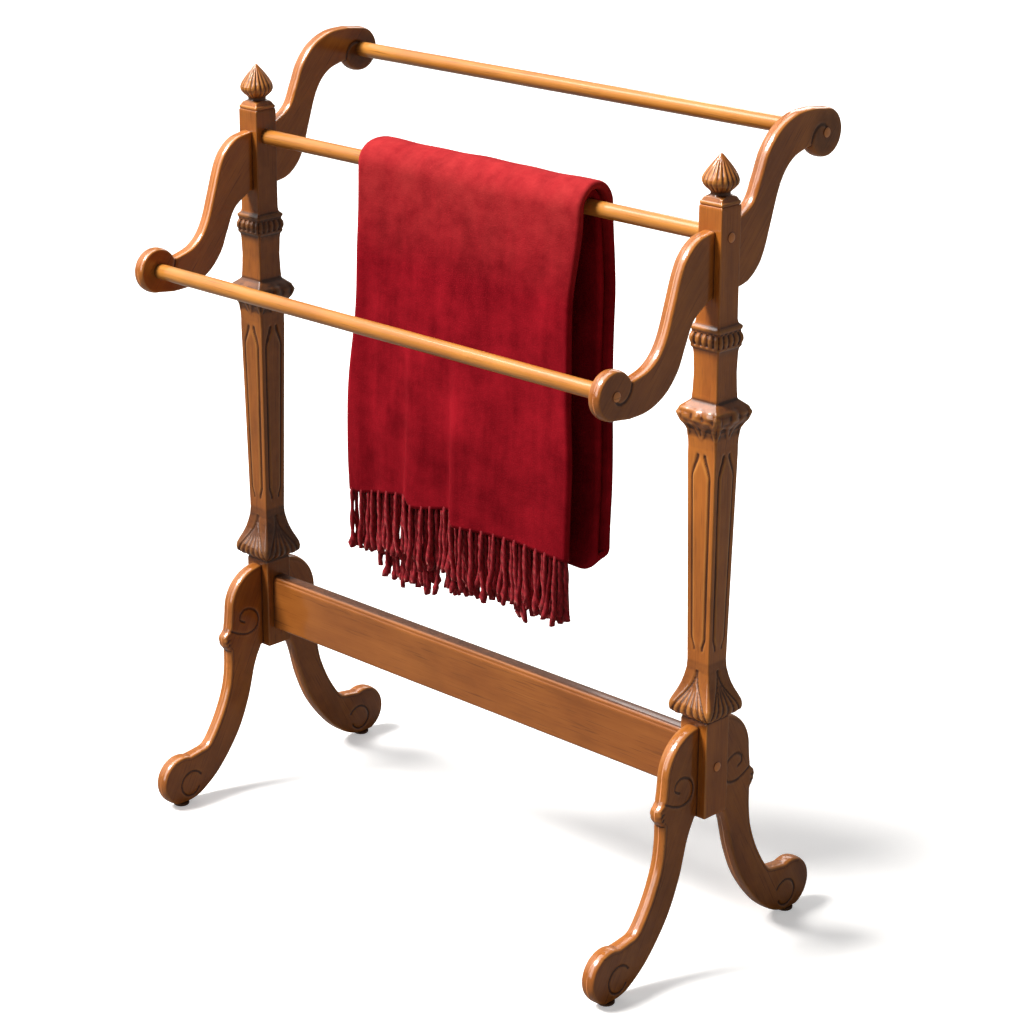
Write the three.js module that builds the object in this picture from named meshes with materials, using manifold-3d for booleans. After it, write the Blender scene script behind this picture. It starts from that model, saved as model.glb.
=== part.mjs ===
// A carved wooden quilt stand with three rails, and a fringed throw folded over its middle rail.
// Millimetres. +X runs along the rails, +Y points to the back, +Z is up.
// The origin is on the floor, midway between the posts and under the middle rail.

import * as THREE from "three";
import { mergeVertices } from "three/addons/utils/BufferGeometryUtils.js";
import Module from "manifold-3d";

const wasm = await Module();
wasm.setup();

// ---------- Driving dimensions ----------

const GAP = 0.3; // clearance between pieces that touch

// Posts, from the foot block up
const POST_SPACING = 693;
const FOOT_BLOCK_BOTTOM = 173;
const FOOT_BLOCK_SIDE = 36.5;
const FOOT_BLOCK_HEIGHT = 110;
const BELL_HEIGHT = 62;
const BELL_SIDE = 55;
const SHAFT_HEIGHT = 245;
const SHAFT_FOOT_SIDE = 29.6;
const SHAFT_HEAD_SIDE = 37.6;
const LEAF_COLLAR_HEIGHT = 45;
const LEAF_COLLAR_SIDE = 53;
const WAIST_HEIGHT = 53;
const WAIST_SIDE = 32;
const BAND_HEIGHT = 24;
const BAND_SIDE = 42;
const BLOCK_HEIGHT = 122.5;
const BLOCK_SIDE = 30.5;

// Finials
const FINIAL_CAP_HEIGHT = 9;
const FINIAL_NECK_HEIGHT = 6;
const FINIAL_NECK_DIAMETER = 21;
const FINIAL_BUD_HEIGHT = 36;
const FINIAL_BUD_DIAMETER = 38;
const SPIGOT_DIAMETER = 12;
const SPIGOT_LENGTH = 18;

// Rails
const RAIL_DIAMETER = 17.5;
const RAIL_SOCKET_ARM = 4;
const RAIL_SOCKET_POST = 12;
const MIDDLE_RAIL_BELOW_TOP = 31.5;

// Arms
const ARM_THICKNESS = 15;
const ARM_REACH = 143.75; // post face to the outer rail's axis
const ARM_DROP = 106.6; // joint centre to the outer rail's axis, down at the front and up at the rear
const ARM_BELOW_TOP = 57;
const ARM_JOINT_OUTER = 37; // joint centre to the outer edge, down at the front
const ARM_JOINT_INNER = 33.5; // joint centre to the inner edge, up at the front
const VOLUTE_RADIUS = 26;
const EDGE = 3;

// Legs
const LEG_THICKNESS = 16;
const LEG_REACH = 132; // foot block face to the scroll foot's centre
const LEG_JOINT_HEIGHT = 105;
const SHOULDER_RADIUS = 50;
const KNEE_PROUD = 10;
const FOOT_RADIUS = 31;

// Stretcher
const STRETCHER_HEIGHT = 67;
const STRETCHER_THICKNESS = 20;
const STRETCHER_ABOVE_BLOCK_BOTTOM = 56; // to the board's centre line

// Joinery and hardware
const DOWEL_DIAMETER = 8;
const DOWEL_IN_POST = 12;
const DOWEL_IN_PART = 20;
const ARM_DOWEL_HEIGHTS = [-11, 11]; // from the arm joint's centre, clear of the middle rail's socket
const LEG_DOWEL_HEIGHTS = [19, 91]; // from the foot block's bottom
const STRETCHER_DOWEL_OFFSET = 18;
const PLUG_DIAMETER = 11;
const PLUG_SEAT = 4;
const PLUG_PROUD = 1.6;
const SCREW_HEAD_DIAMETER = 9;
const SCREW_HEAD_HEIGHT = 2.2;
const SCREW_DIAMETER = 4;
const SCREW_IN_RAIL = 28;
const BOLT_HEAD_DIAMETER = 9.5;
const BOLT_HEAD_HEIGHT = 5;
const BOLT_DIAMETER = 6;
const NUT_DIAMETER = 10;
const NUT_LENGTH = 14;
const NUT_DEPTH = 30; // stretcher end to the barrel nut's axis
const BOLT_PAST_NUT = 4;
const GLIDE_DIAMETER = 19;
const GLIDE_HEIGHT = 3.3;
const GLIDE_PIN_DIAMETER = 4;
const GLIDE_PIN_LENGTH = 12;

// Throw, folded and hung
const THROW_WIDTH = 350;
const THROW_SHIFT = 9; // the fold hangs a little to the right of the middle
const THROW_THICKNESS = 20;
const THROW_GAP = 0.6; // to the rail
const THROW_FRONT_DROP = 385; // rail axis to the hem
const THROW_BACK_DROP = 417; // rail axis to the bottom fold
const FRINGE_LENGTH = 92;
const FRINGE_THICKNESS = 15;

// ---------- Heights and places that follow ----------

const FOOT_BLOCK_TOP = FOOT_BLOCK_BOTTOM + FOOT_BLOCK_HEIGHT;
const SHAFT_FOOT = FOOT_BLOCK_TOP + BELL_HEIGHT;
const SHAFT_HEAD = SHAFT_FOOT + SHAFT_HEIGHT;
const WAIST_FOOT = SHAFT_HEAD + LEAF_COLLAR_HEIGHT;
const BAND_FOOT = WAIST_FOOT + WAIST_HEIGHT;
const BLOCK_FOOT = BAND_FOOT + BAND_HEIGHT;
const POST_TOP = BLOCK_FOOT + BLOCK_HEIGHT;
const POST_X = POST_SPACING / 2;
const BLOCK_FACE = BLOCK_SIDE / 2;
const FOOT_BLOCK_FACE = FOOT_BLOCK_SIDE / 2;
const ARM_CENTRE = POST_TOP - ARM_BELOW_TOP;
const RAIL_OUT = BLOCK_FACE + ARM_REACH;
const MIDDLE_RAIL_HEIGHT = POST_TOP - MIDDLE_RAIL_BELOW_TOP;
const STRETCHER_CENTRE = FOOT_BLOCK_BOTTOM + STRETCHER_ABOVE_BLOCK_BOTTOM;
const FOOT_OUT = FOOT_BLOCK_FACE + LEG_REACH;
const SCREW_RECESS = PLUG_SEAT + SCREW_HEAD_HEIGHT + GAP;
const BOLT_RECESS = PLUG_SEAT + BOLT_HEAD_HEIGHT + GAP;
const SIDES = { left: -1, right: 1 };
const SEGMENTS = 24;

// ---------- Materials ----------

const oak = new THREE.MeshStandardMaterial({ color: 0xa8652a, roughness: 0.35, metalness: 0 });
const buttonWood = new THREE.MeshStandardMaterial({ color: 0xb5743c, roughness: 0.4, metalness: 0 });
const steel = new THREE.MeshStandardMaterial({ color: 0x9a9a98, roughness: 0.35, metalness: 1 });
const nylon = new THREE.MeshStandardMaterial({ color: 0x3a2c22, roughness: 0.6, metalness: 0 });
const crimsonCloth = new THREE.MeshStandardMaterial({ color: 0xa01822, roughness: 0.9, metalness: 0 });

// ---------- Solids ----------

// A closed geometry as a manifold-3d solid.
function solid(geometry) {
  const bare = geometry.clone();
  bare.deleteAttribute("normal");
  bare.deleteAttribute("uv");
  const merged = mergeVertices(bare, 1e-4);
  return new wasm.Manifold(
    new wasm.Mesh({
      numProp: 3,
      vertProperties: merged.attributes.position.array,
      triVerts: new Uint32Array(merged.index.array),
    }),
  );
}

// A manifold-3d solid as a geometry.
function skin(body) {
  const mesh = body.getMesh();
  const geometry = new THREE.BufferGeometry();
  geometry.setAttribute("position", new THREE.BufferAttribute(mesh.vertProperties, 3));
  geometry.setIndex(new THREE.BufferAttribute(mesh.triVerts, 1));
  geometry.computeVertexNormals();
  return geometry;
}

// The geometry with each tool's volume taken away.
function cut(geometry, tools) {
  let body = solid(geometry);
  for (const tool of tools) {
    body = body.subtract(solid(tool));
  }
  return skin(body);
}

// A round bar between two points on a line along one axis.
function bar(axis, diameter, from, to, across = [0, 0], segments = SEGMENTS) {
  const geometry = new THREE.CylinderGeometry(diameter / 2, diameter / 2, Math.abs(to - from), segments);
  const middle = (from + to) / 2;
  if (axis === "x") {
    return geometry.rotateZ(Math.PI / 2).translate(middle, across[0], across[1]);
  }
  if (axis === "y") {
    return geometry.translate(across[0], middle, across[1]);
  }
  return geometry.rotateX(Math.PI / 2).translate(across[0], across[1], middle);
}

// A profile of [radius, height] pairs turned about Z.
function turned(profile, segments = SEGMENTS) {
  const points = profile.map(([radius, height]) => new THREE.Vector2(radius, height));
  return new THREE.LatheGeometry(points, segments).rotateX(Math.PI / 2);
}

// A profile of [side, height] pairs as a square post about Z, with its faces square to X and Y.
function squared(profile) {
  const points = profile.map(([side, height]) => new THREE.Vector2(side * Math.SQRT1_2, height));
  return new THREE.LatheGeometry(points, 4, Math.PI / 4).rotateX(Math.PI / 2);
}

// An outline drawn outwards from a joint face, as a board of even thickness that stands out towards the front.
function scrollBoard(outline, thickness, detail) {
  const geometry = new THREE.ExtrudeGeometry(outline, {
    depth: thickness - 2 * EDGE,
    bevelThickness: EDGE,
    bevelSize: EDGE,
    bevelOffset: -EDGE,
    bevelSegments: 1,
    curveSegments: detail,
  });
  geometry.translate(0, 0, EDGE - thickness / 2);
  const out = new THREE.Vector3(0, -1, 0);
  const up = new THREE.Vector3(0, 0, 1);
  const along = new THREE.Vector3(-1, 0, 0);
  return geometry.applyMatrix4(new THREE.Matrix4().makeBasis(out, up, along));
}

const group = new THREE.Group();

function add(name, geometry, material, place = [0, 0, 0]) {
  const mesh = new THREE.Mesh(geometry, material);
  mesh.name = name;
  mesh.position.set(...place);
  group.add(mesh);
  return mesh;
}

// ---------- Posts and finials ----------

// The seat for a button plug with a screw or bolt head under it, bored inwards from an outer face.
function plugBore(outerFace, depth, side, height, out = 0) {
  return bar("x", PLUG_DIAMETER + 2 * GAP, side * (outerFace + 1), side * (outerFace - depth), [out, height]);
}

function postGeometry(side) {
  const blank = squared([
    [0, FOOT_BLOCK_BOTTOM],
    [FOOT_BLOCK_SIDE, FOOT_BLOCK_BOTTOM],
    [FOOT_BLOCK_SIDE, FOOT_BLOCK_TOP],
    [BELL_SIDE - 8, FOOT_BLOCK_TOP + 4],
    [BELL_SIDE, FOOT_BLOCK_TOP + 14],
    [BELL_SIDE - 10, FOOT_BLOCK_TOP + 28],
    [SHAFT_FOOT_SIDE + 5, FOOT_BLOCK_TOP + BELL_HEIGHT * 0.72],
    [SHAFT_FOOT_SIDE, SHAFT_FOOT],
    [SHAFT_HEAD_SIDE, SHAFT_HEAD],
    [LEAF_COLLAR_SIDE - 10, SHAFT_HEAD + 12],
    [LEAF_COLLAR_SIDE, SHAFT_HEAD + 24],
    [LEAF_COLLAR_SIDE - 8, SHAFT_HEAD + 33],
    [WAIST_SIDE + 2, WAIST_FOOT],
    [WAIST_SIDE, WAIST_FOOT + WAIST_HEIGHT / 2],
    [WAIST_SIDE + 2, BAND_FOOT],
    [BAND_SIDE, BAND_FOOT + BAND_HEIGHT * 0.4],
    [BAND_SIDE - 3, BAND_FOOT + BAND_HEIGHT * 0.75],
    [BLOCK_SIDE, BLOCK_FOOT],
    [BLOCK_SIDE, POST_TOP],
    [0, POST_TOP],
  ]);
  const tools = [
    bar("z", SPIGOT_DIAMETER + 2 * GAP, POST_TOP - SPIGOT_LENGTH - GAP, POST_TOP + 1),
    bar("x", RAIL_DIAMETER + 2 * GAP, -side * (BLOCK_FACE + 1), -side * (BLOCK_FACE - RAIL_SOCKET_POST),
      [0, MIDDLE_RAIL_HEIGHT]),
    plugBore(BLOCK_FACE, SCREW_RECESS, side, MIDDLE_RAIL_HEIGHT),
    bar("x", SCREW_DIAMETER + 2 * GAP, -BLOCK_FACE, BLOCK_FACE, [0, MIDDLE_RAIL_HEIGHT], 12),
    plugBore(FOOT_BLOCK_FACE, BOLT_RECESS, side, STRETCHER_CENTRE),
    bar("x", BOLT_DIAMETER + 2 * GAP, -FOOT_BLOCK_FACE - 1, FOOT_BLOCK_FACE, [0, STRETCHER_CENTRE], 12),
  ];
  for (const end of [-1, 1]) {
    for (const height of ARM_DOWEL_HEIGHTS) {
      tools.push(dowelBore("y", end, BLOCK_FACE, ARM_CENTRE - end * height));
    }
    for (const height of LEG_DOWEL_HEIGHTS) {
      tools.push(dowelBore("y", end, FOOT_BLOCK_FACE, FOOT_BLOCK_BOTTOM + height));
    }
    tools.push(dowelBore("x", -side, FOOT_BLOCK_FACE, STRETCHER_CENTRE + end * STRETCHER_DOWEL_OFFSET));
  }
  return cut(blank, tools);
}

// A blind dowel hole into the face that lies towards one end of an axis.
function dowelBore(axis, end, face, height) {
  const bottom = face - DOWEL_IN_POST - GAP;
  return bar(axis, DOWEL_DIAMETER + 2 * GAP, end * bottom, end * (face + 1), [0, height], 12);
}

function finialGeometry() {
  const cap = squared([
    [0, 0],
    [BLOCK_SIDE, 0],
    [BLOCK_SIDE, 2],
    [BLOCK_SIDE - 4, FINIAL_CAP_HEIGHT - 3],
    [FINIAL_NECK_DIAMETER, FINIAL_CAP_HEIGHT],
    [0, FINIAL_CAP_HEIGHT],
  ]);
  const budFoot = FINIAL_CAP_HEIGHT + FINIAL_NECK_HEIGHT;
  const bud = turned([
    [0, -SPIGOT_LENGTH],
    [SPIGOT_DIAMETER / 2, -SPIGOT_LENGTH],
    [SPIGOT_DIAMETER / 2, FINIAL_CAP_HEIGHT / 2],
    [FINIAL_NECK_DIAMETER / 2, FINIAL_CAP_HEIGHT / 2],
    [FINIAL_NECK_DIAMETER / 2 - 1.5, FINIAL_CAP_HEIGHT + FINIAL_NECK_HEIGHT / 2],
    [FINIAL_NECK_DIAMETER / 2, budFoot],
    [FINIAL_BUD_DIAMETER / 2 - 2.5, budFoot + FINIAL_BUD_HEIGHT * 0.22],
    [FINIAL_BUD_DIAMETER / 2, budFoot + FINIAL_BUD_HEIGHT * 0.36],
    [FINIAL_BUD_DIAMETER / 2 - 2.5, budFoot + FINIAL_BUD_HEIGHT * 0.5],
    [FINIAL_BUD_DIAMETER / 4, budFoot + FINIAL_BUD_HEIGHT * 0.8],
    [0, budFoot + FINIAL_BUD_HEIGHT],
  ]);
  return skin(solid(cap).add(solid(bud)));
}

// ---------- Arms ----------

// The front arm's outline: x outwards from the post's face, y up from the joint's centre.
// The two long edges run through points that are shares of the reach and the drop.
function armOutline() {
  const through = (pairs) => pairs.map(([out, down]) => new THREE.Vector2(out * ARM_REACH, -down * ARM_DROP));
  const neck = 0.02 * ARM_REACH;
  const outline = new THREE.Shape();
  outline.moveTo(-2 * EDGE, -ARM_JOINT_OUTER);
  outline.lineTo(neck, -ARM_JOINT_OUTER);
  outline.splineThru(through([[0.19, 0.5], [0.275, 0.73], [0.35, 0.95], [0.48, 1.14], [0.66, 1.25], [0.85, 1.27]]));
  outline.lineTo(ARM_REACH, -ARM_DROP - VOLUTE_RADIUS);
  outline.absarc(ARM_REACH, -ARM_DROP, VOLUTE_RADIUS, -Math.PI / 2, Math.PI * 0.86, false);
  outline.splineThru(through([[0.76, 0.875], [0.65, 0.825], [0.555, 0.72], [0.482, 0.55], [0.412, 0.27],
    [0.345, 0], [0.275, -0.155], [0.165, -0.27]]));
  outline.lineTo(neck, ARM_JOINT_INNER);
  outline.lineTo(-2 * EDGE, ARM_JOINT_INNER);
  return outline;
}

// The front arm in the post's frame, its joint centre at height zero.
function armGeometry(side) {
  const board = scrollBoard(armOutline(), ARM_THICKNESS, 3);
  board.translate(0, -BLOCK_FACE - GAP, 0);
  const face = ARM_THICKNESS / 2;
  const jointTrim = new THREE.BoxGeometry(ARM_THICKNESS + 2, BLOCK_SIDE + 2 * GAP, 2 * ARM_JOINT_OUTER + 2);
  const tools = [
    jointTrim,
    bar("x", RAIL_DIAMETER + 2 * GAP, -side * (face + 1), -side * (face - RAIL_SOCKET_ARM), [-RAIL_OUT, -ARM_DROP]),
    plugBore(face, SCREW_RECESS, side, -ARM_DROP, -RAIL_OUT),
    bar("x", SCREW_DIAMETER + 2 * GAP, -face, face, [-RAIL_OUT, -ARM_DROP], 12),
  ];
  for (const height of ARM_DOWEL_HEIGHTS) {
    const bottom = -BLOCK_FACE - DOWEL_IN_PART - GAP;
    tools.push(bar("y", DOWEL_DIAMETER + 2 * GAP, bottom, -BLOCK_FACE, [0, height], 12));
  }
  return cut(board, tools);
}

// ---------- Legs ----------

// The front leg's outline: x outwards from the foot block's face, y up from the floor.
function legOutline() {
  const top = FOOT_BLOCK_BOTTOM + LEG_JOINT_HEIGHT;
  const shoulder = top - SHOULDER_RADIUS;
  const footCentre = GLIDE_HEIGHT + GAP + FOOT_RADIUS * 0.95;
  const flat = Math.sqrt(FOOT_RADIUS ** 2 - (FOOT_RADIUS * 0.95) ** 2);
  const point = (out, up) => new THREE.Vector2(out, up);
  const below = (out, share) => point(out * LEG_REACH, share * FOOT_BLOCK_BOTTOM);
  const outline = new THREE.Shape();
  outline.moveTo(-2 * EDGE, FOOT_BLOCK_BOTTOM);
  outline.lineTo(0.02 * LEG_REACH, FOOT_BLOCK_BOTTOM);
  outline.splineThru([below(0.1, 0.87), below(0.19, 0.63), below(0.33, 0.4), below(0.56, 0.18), below(0.78, 0.055),
    point(LEG_REACH - flat, footCentre - FOOT_RADIUS * 0.95)]);
  outline.lineTo(LEG_REACH + flat, footCentre - FOOT_RADIUS * 0.95);
  outline.absarc(LEG_REACH, footCentre, FOOT_RADIUS, -Math.acos(flat / FOOT_RADIUS), Math.PI * 0.62, false);
  outline.splineThru([below(0.8, 0.37), below(0.7, 0.39), below(0.61, 0.475), below(0.51, 0.61), below(0.435, 0.76),
    below(0.405, 0.9), point(SHOULDER_RADIUS + 3, FOOT_BLOCK_BOTTOM + 5)]);
  outline.splineThru([point(SHOULDER_RADIUS + KNEE_PROUD - 1, FOOT_BLOCK_BOTTOM + 13),
    point(SHOULDER_RADIUS + KNEE_PROUD, FOOT_BLOCK_BOTTOM + 24),
    point(SHOULDER_RADIUS + 3, FOOT_BLOCK_BOTTOM + 33), point(SHOULDER_RADIUS, shoulder)]);
  outline.absarc(0, shoulder, SHOULDER_RADIUS, 0, Math.PI / 2, false);
  outline.lineTo(-2 * EDGE, top);
  return outline;
}

// The front leg in the post's frame.
function legGeometry() {
  const board = scrollBoard(legOutline(), LEG_THICKNESS, 3);
  board.translate(0, -FOOT_BLOCK_FACE - GAP, 0);
  const jointTrim = new THREE.BoxGeometry(LEG_THICKNESS + 2, FOOT_BLOCK_SIDE + 2 * GAP, LEG_JOINT_HEIGHT + 2);
  jointTrim.translate(0, 0, FOOT_BLOCK_BOTTOM + LEG_JOINT_HEIGHT / 2);
  const pinTop = GLIDE_HEIGHT + GLIDE_PIN_LENGTH + GAP;
  const tools = [
    jointTrim,
    bar("z", GLIDE_PIN_DIAMETER + 2 * GAP, 0, pinTop, [0, -FOOT_OUT], 12),
  ];
  for (const height of LEG_DOWEL_HEIGHTS) {
    const bottom = -FOOT_BLOCK_FACE - DOWEL_IN_PART - GAP;
    tools.push(bar("y", DOWEL_DIAMETER + 2 * GAP, bottom, -FOOT_BLOCK_FACE, [0, FOOT_BLOCK_BOTTOM + height], 12));
  }
  return cut(board, tools);
}

function glideGeometry() {
  return turned([
    [0, 0],
    [GLIDE_DIAMETER / 2 - 1, 0],
    [GLIDE_DIAMETER / 2, 1],
    [GLIDE_DIAMETER / 2, GLIDE_HEIGHT],
    [GLIDE_PIN_DIAMETER / 2, GLIDE_HEIGHT],
    [GLIDE_PIN_DIAMETER / 2, GLIDE_HEIGHT + GLIDE_PIN_LENGTH - 2],
    [0, GLIDE_HEIGHT + GLIDE_PIN_LENGTH],
  ], 16);
}

// ---------- Rails and stretcher ----------

// A rail with a pilot hole for its screw in each end.
function railGeometry(halfLength) {
  const rail = bar("x", RAIL_DIAMETER, -halfLength, halfLength);
  const pilot = SCREW_DIAMETER + 2 * GAP;
  const depth = SCREW_IN_RAIL + 1;
  return cut(rail, [
    bar("x", pilot, halfLength - depth, halfLength + 1, [0, 0], 12),
    bar("x", pilot, -halfLength - 1, depth - halfLength, [0, 0], 12),
  ]);
}

function stretcherGeometry() {
  const half = POST_X - FOOT_BLOCK_FACE - GAP;
  const edge = 4;
  const outline = new THREE.Shape();
  const back = STRETCHER_THICKNESS / 2;
  const top = STRETCHER_HEIGHT / 2;
  outline.moveTo(-back, -top);
  outline.lineTo(back, -top);
  outline.lineTo(back, top);
  outline.lineTo(edge - back, top);
  outline.absarc(edge - back, top - edge, edge, Math.PI / 2, Math.PI, false);
  const board = new THREE.ExtrudeGeometry(outline, { depth: 2 * half, bevelEnabled: false, curveSegments: 4 });
  board.translate(0, 0, -half);
  const across = new THREE.Vector3(0, 1, 0);
  const up = new THREE.Vector3(0, 0, 1);
  const along = new THREE.Vector3(1, 0, 0);
  board.applyMatrix4(new THREE.Matrix4().makeBasis(across, up, along));
  const tools = [];
  for (const end of [-1, 1]) {
    const boltDepth = NUT_DEPTH + BOLT_PAST_NUT + 1;
    tools.push(bar("x", BOLT_DIAMETER + 2 * GAP, end * (half - boltDepth), end * (half + 1), [0, 0], 12));
    tools.push(bar("y", NUT_DIAMETER + 2 * GAP, -NUT_LENGTH / 2 - GAP, back + 1, [end * (half - NUT_DEPTH), 0], 16));
    for (const height of [-STRETCHER_DOWEL_OFFSET, STRETCHER_DOWEL_OFFSET]) {
      const bottom = half - DOWEL_IN_PART;
      tools.push(bar("x", DOWEL_DIAMETER + 2 * GAP, end * bottom, end * (half + 1), [0, height], 12));
    }
  }
  return cut(board, tools);
}

// ---------- Hardware ----------

// Each of these lies along +X with its outer end at the origin's plane, facing +X.

function plugGeometry() {
  const radius = PLUG_DIAMETER / 2;
  return turned([
    [0, -PLUG_SEAT + GAP],
    [radius, -PLUG_SEAT + GAP],
    [radius, PLUG_PROUD * 0.3],
    [radius * 0.8, PLUG_PROUD * 0.8],
    [0, PLUG_PROUD],
  ], 16).rotateY(Math.PI / 2);
}

function screwGeometry(length) {
  return turned([
    [0, -length],
    [SCREW_DIAMETER / 2, 4 - length],
    [SCREW_DIAMETER / 2, -SCREW_HEAD_HEIGHT],
    [SCREW_HEAD_DIAMETER / 2, -SCREW_HEAD_HEIGHT],
    [SCREW_HEAD_DIAMETER / 2, -SCREW_HEAD_HEIGHT / 2],
    [SCREW_HEAD_DIAMETER / 4, 0],
    [0, 0],
  ], 12).rotateY(Math.PI / 2);
}

function boltGeometry(length) {
  const blank = turned([
    [0, -length],
    [BOLT_DIAMETER / 2, -length],
    [BOLT_DIAMETER / 2, -BOLT_HEAD_HEIGHT],
    [BOLT_HEAD_DIAMETER / 2, -BOLT_HEAD_HEIGHT],
    [BOLT_HEAD_DIAMETER / 2, 0],
    [0, 0],
  ], 16).rotateY(Math.PI / 2);
  return cut(blank, [bar("x", BOLT_DIAMETER - 1, -BOLT_HEAD_HEIGHT / 2, 1, [0, 0], 6)]);
}

function nutGeometry() {
  const blank = bar("y", NUT_DIAMETER, -NUT_LENGTH / 2, NUT_LENGTH / 2, [0, 0], 16);
  return cut(blank, [bar("x", BOLT_DIAMETER + 2 * GAP, -NUT_DIAMETER, NUT_DIAMETER, [0, 0], 12)]);
}

// A plug and the screw under it, in the outer face of a scroll or an upper block.
function addScrewed(label, side, face, railEnd, out, height) {
  const plug = plugGeometry();
  const screw = screwGeometry(face - PLUG_SEAT - (railEnd - SCREW_IN_RAIL));
  const turn = side < 0 ? Math.PI : 0;
  add(`plug_${label}`, plug, buttonWood, [side * face, out, height]).rotation.z = turn;
  add(`rail_screw_${label}`, screw, steel, [side * (face - PLUG_SEAT), out, height]).rotation.z = turn;
}

// ---------- Throw ----------

// The folded throw as one plain layer thick enough for all its folds, hung over the middle rail.
function throwGeometry() {
  const inner = RAIL_DIAMETER / 2 + THROW_GAP;
  const outer = inner + THROW_THICKNESS;
  const fold = THROW_THICKNESS / 2;
  const outline = new THREE.Shape();
  outline.moveTo(-outer, -THROW_FRONT_DROP);
  outline.lineTo(-inner, -THROW_FRONT_DROP);
  outline.absarc(0, 0, inner, Math.PI, 0, true);
  outline.absarc(inner + fold, fold - THROW_BACK_DROP, fold, Math.PI, 2 * Math.PI, false);
  outline.absarc(0, 0, outer, 0, Math.PI, false);
  const geometry = new THREE.ExtrudeGeometry(outline, { depth: THROW_WIDTH, bevelEnabled: false, curveSegments: 12 });
  geometry.translate(0, 0, -THROW_WIDTH / 2);
  const across = new THREE.Vector3(0, 1, 0);
  const up = new THREE.Vector3(0, 0, 1);
  const along = new THREE.Vector3(1, 0, 0);
  return geometry.applyMatrix4(new THREE.Matrix4().makeBasis(across, up, along));
}

// ---------- Assembly ----------

const dowelLength = DOWEL_IN_POST + DOWEL_IN_PART;
const dowel = bar("y", DOWEL_DIAMETER, -dowelLength / 2, dowelLength / 2, [0, 0], 12);
const dowelInset = (DOWEL_IN_PART - DOWEL_IN_POST) / 2; // joint face to the dowel's middle
const finial = finialGeometry();
const leg = legGeometry();
const glide = glideGeometry();
const nut = nutGeometry();
const stretcherEnd = POST_X - FOOT_BLOCK_FACE - GAP;
const boltLength = FOOT_BLOCK_SIDE - PLUG_SEAT + GAP + NUT_DEPTH + BOLT_PAST_NUT;
const bolt = boltGeometry(boltLength);
const armRailEnd = POST_X - ARM_THICKNESS / 2 + RAIL_SOCKET_ARM - GAP;
const middleRailEnd = POST_X - BLOCK_FACE + RAIL_SOCKET_POST - GAP;

for (const [name, side] of Object.entries(SIDES)) {
  const x = side * POST_X;
  const arm = armGeometry(side);
  add(`post_${name}`, postGeometry(side), oak, [x, 0, 0]);
  add(`finial_${name}`, finial, oak, [x, 0, POST_TOP + GAP]);
  for (const [place, end] of Object.entries({ front: -1, rear: 1 })) {
    const label = `${place}_${name}`;
    // The rear arm is the front one turned over; the rear leg is the front one turned round.
    add(`arm_${label}`, arm, oak, [x, 0, ARM_CENTRE]).rotation.x = end > 0 ? Math.PI : 0;
    add(`leg_${label}`, leg, oak, [x, 0, 0]).rotation.z = end > 0 ? Math.PI : 0;
    add(`glide_${label}`, glide, nylon, [x, end * FOOT_OUT, 0]);
    ARM_DOWEL_HEIGHTS.forEach((height, i) => {
      const y = end * (BLOCK_FACE + dowelInset);
      add(`arm_dowel_${label}_${i + 1}`, dowel, buttonWood, [x, y, ARM_CENTRE - end * height]);
    });
    LEG_DOWEL_HEIGHTS.forEach((height, i) => {
      const y = end * (FOOT_BLOCK_FACE + dowelInset);
      add(`leg_dowel_${label}_${i + 1}`, dowel, buttonWood, [x, y, FOOT_BLOCK_BOTTOM + height]);
    });
    const outerFace = POST_X + ARM_THICKNESS / 2;
    addScrewed(`${place}_rail_${name}`, side, outerFace, armRailEnd, end * RAIL_OUT, ARM_CENTRE + end * ARM_DROP);
  }
  addScrewed(`middle_rail_${name}`, side, POST_X + BLOCK_FACE, middleRailEnd, 0, MIDDLE_RAIL_HEIGHT);
  const turn = side < 0 ? Math.PI : 0;
  const outerFace = side * (POST_X + FOOT_BLOCK_FACE);
  const seat = side * (POST_X + FOOT_BLOCK_FACE - PLUG_SEAT);
  add(`plug_stretcher_${name}`, plugGeometry(), buttonWood, [outerFace, 0, STRETCHER_CENTRE]).rotation.z = turn;
  add(`stretcher_bolt_${name}`, bolt, steel, [seat, 0, STRETCHER_CENTRE]).rotation.z = turn;
  add(`barrel_nut_${name}`, nut, steel, [side * (stretcherEnd - NUT_DEPTH), 0, STRETCHER_CENTRE]);
  [-1, 1].forEach((end, i) => {
    const height = STRETCHER_CENTRE + end * STRETCHER_DOWEL_OFFSET;
    const place = [side * (stretcherEnd + GAP - dowelInset), 0, height];
    add(`stretcher_dowel_${name}_${i + 1}`, dowel, buttonWood, place).rotation.z = Math.PI / 2;
  });
}

add("rail_front", railGeometry(armRailEnd), oak, [0, -RAIL_OUT, ARM_CENTRE - ARM_DROP]);
add("rail_middle", railGeometry(middleRailEnd), oak, [0, 0, MIDDLE_RAIL_HEIGHT]);
add("rail_rear", railGeometry(armRailEnd), oak, [0, RAIL_OUT, ARM_CENTRE + ARM_DROP]);
add("stretcher", stretcherGeometry(), oak, [0, 0, STRETCHER_CENTRE]);

const throwMiddle = -(RAIL_DIAMETER / 2 + THROW_GAP + THROW_THICKNESS / 2);
const fringeMiddle = MIDDLE_RAIL_HEIGHT - THROW_FRONT_DROP - GAP - FRINGE_LENGTH / 2;
const fringe = new THREE.BoxGeometry(THROW_WIDTH, FRINGE_THICKNESS, FRINGE_LENGTH);
add("throw", throwGeometry(), crimsonCloth, [THROW_SHIFT, 0, MIDDLE_RAIL_HEIGHT]);
add("throw_fringe", fringe, crimsonCloth, [THROW_SHIFT, throwMiddle, fringeMiddle]);

export default group;
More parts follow.
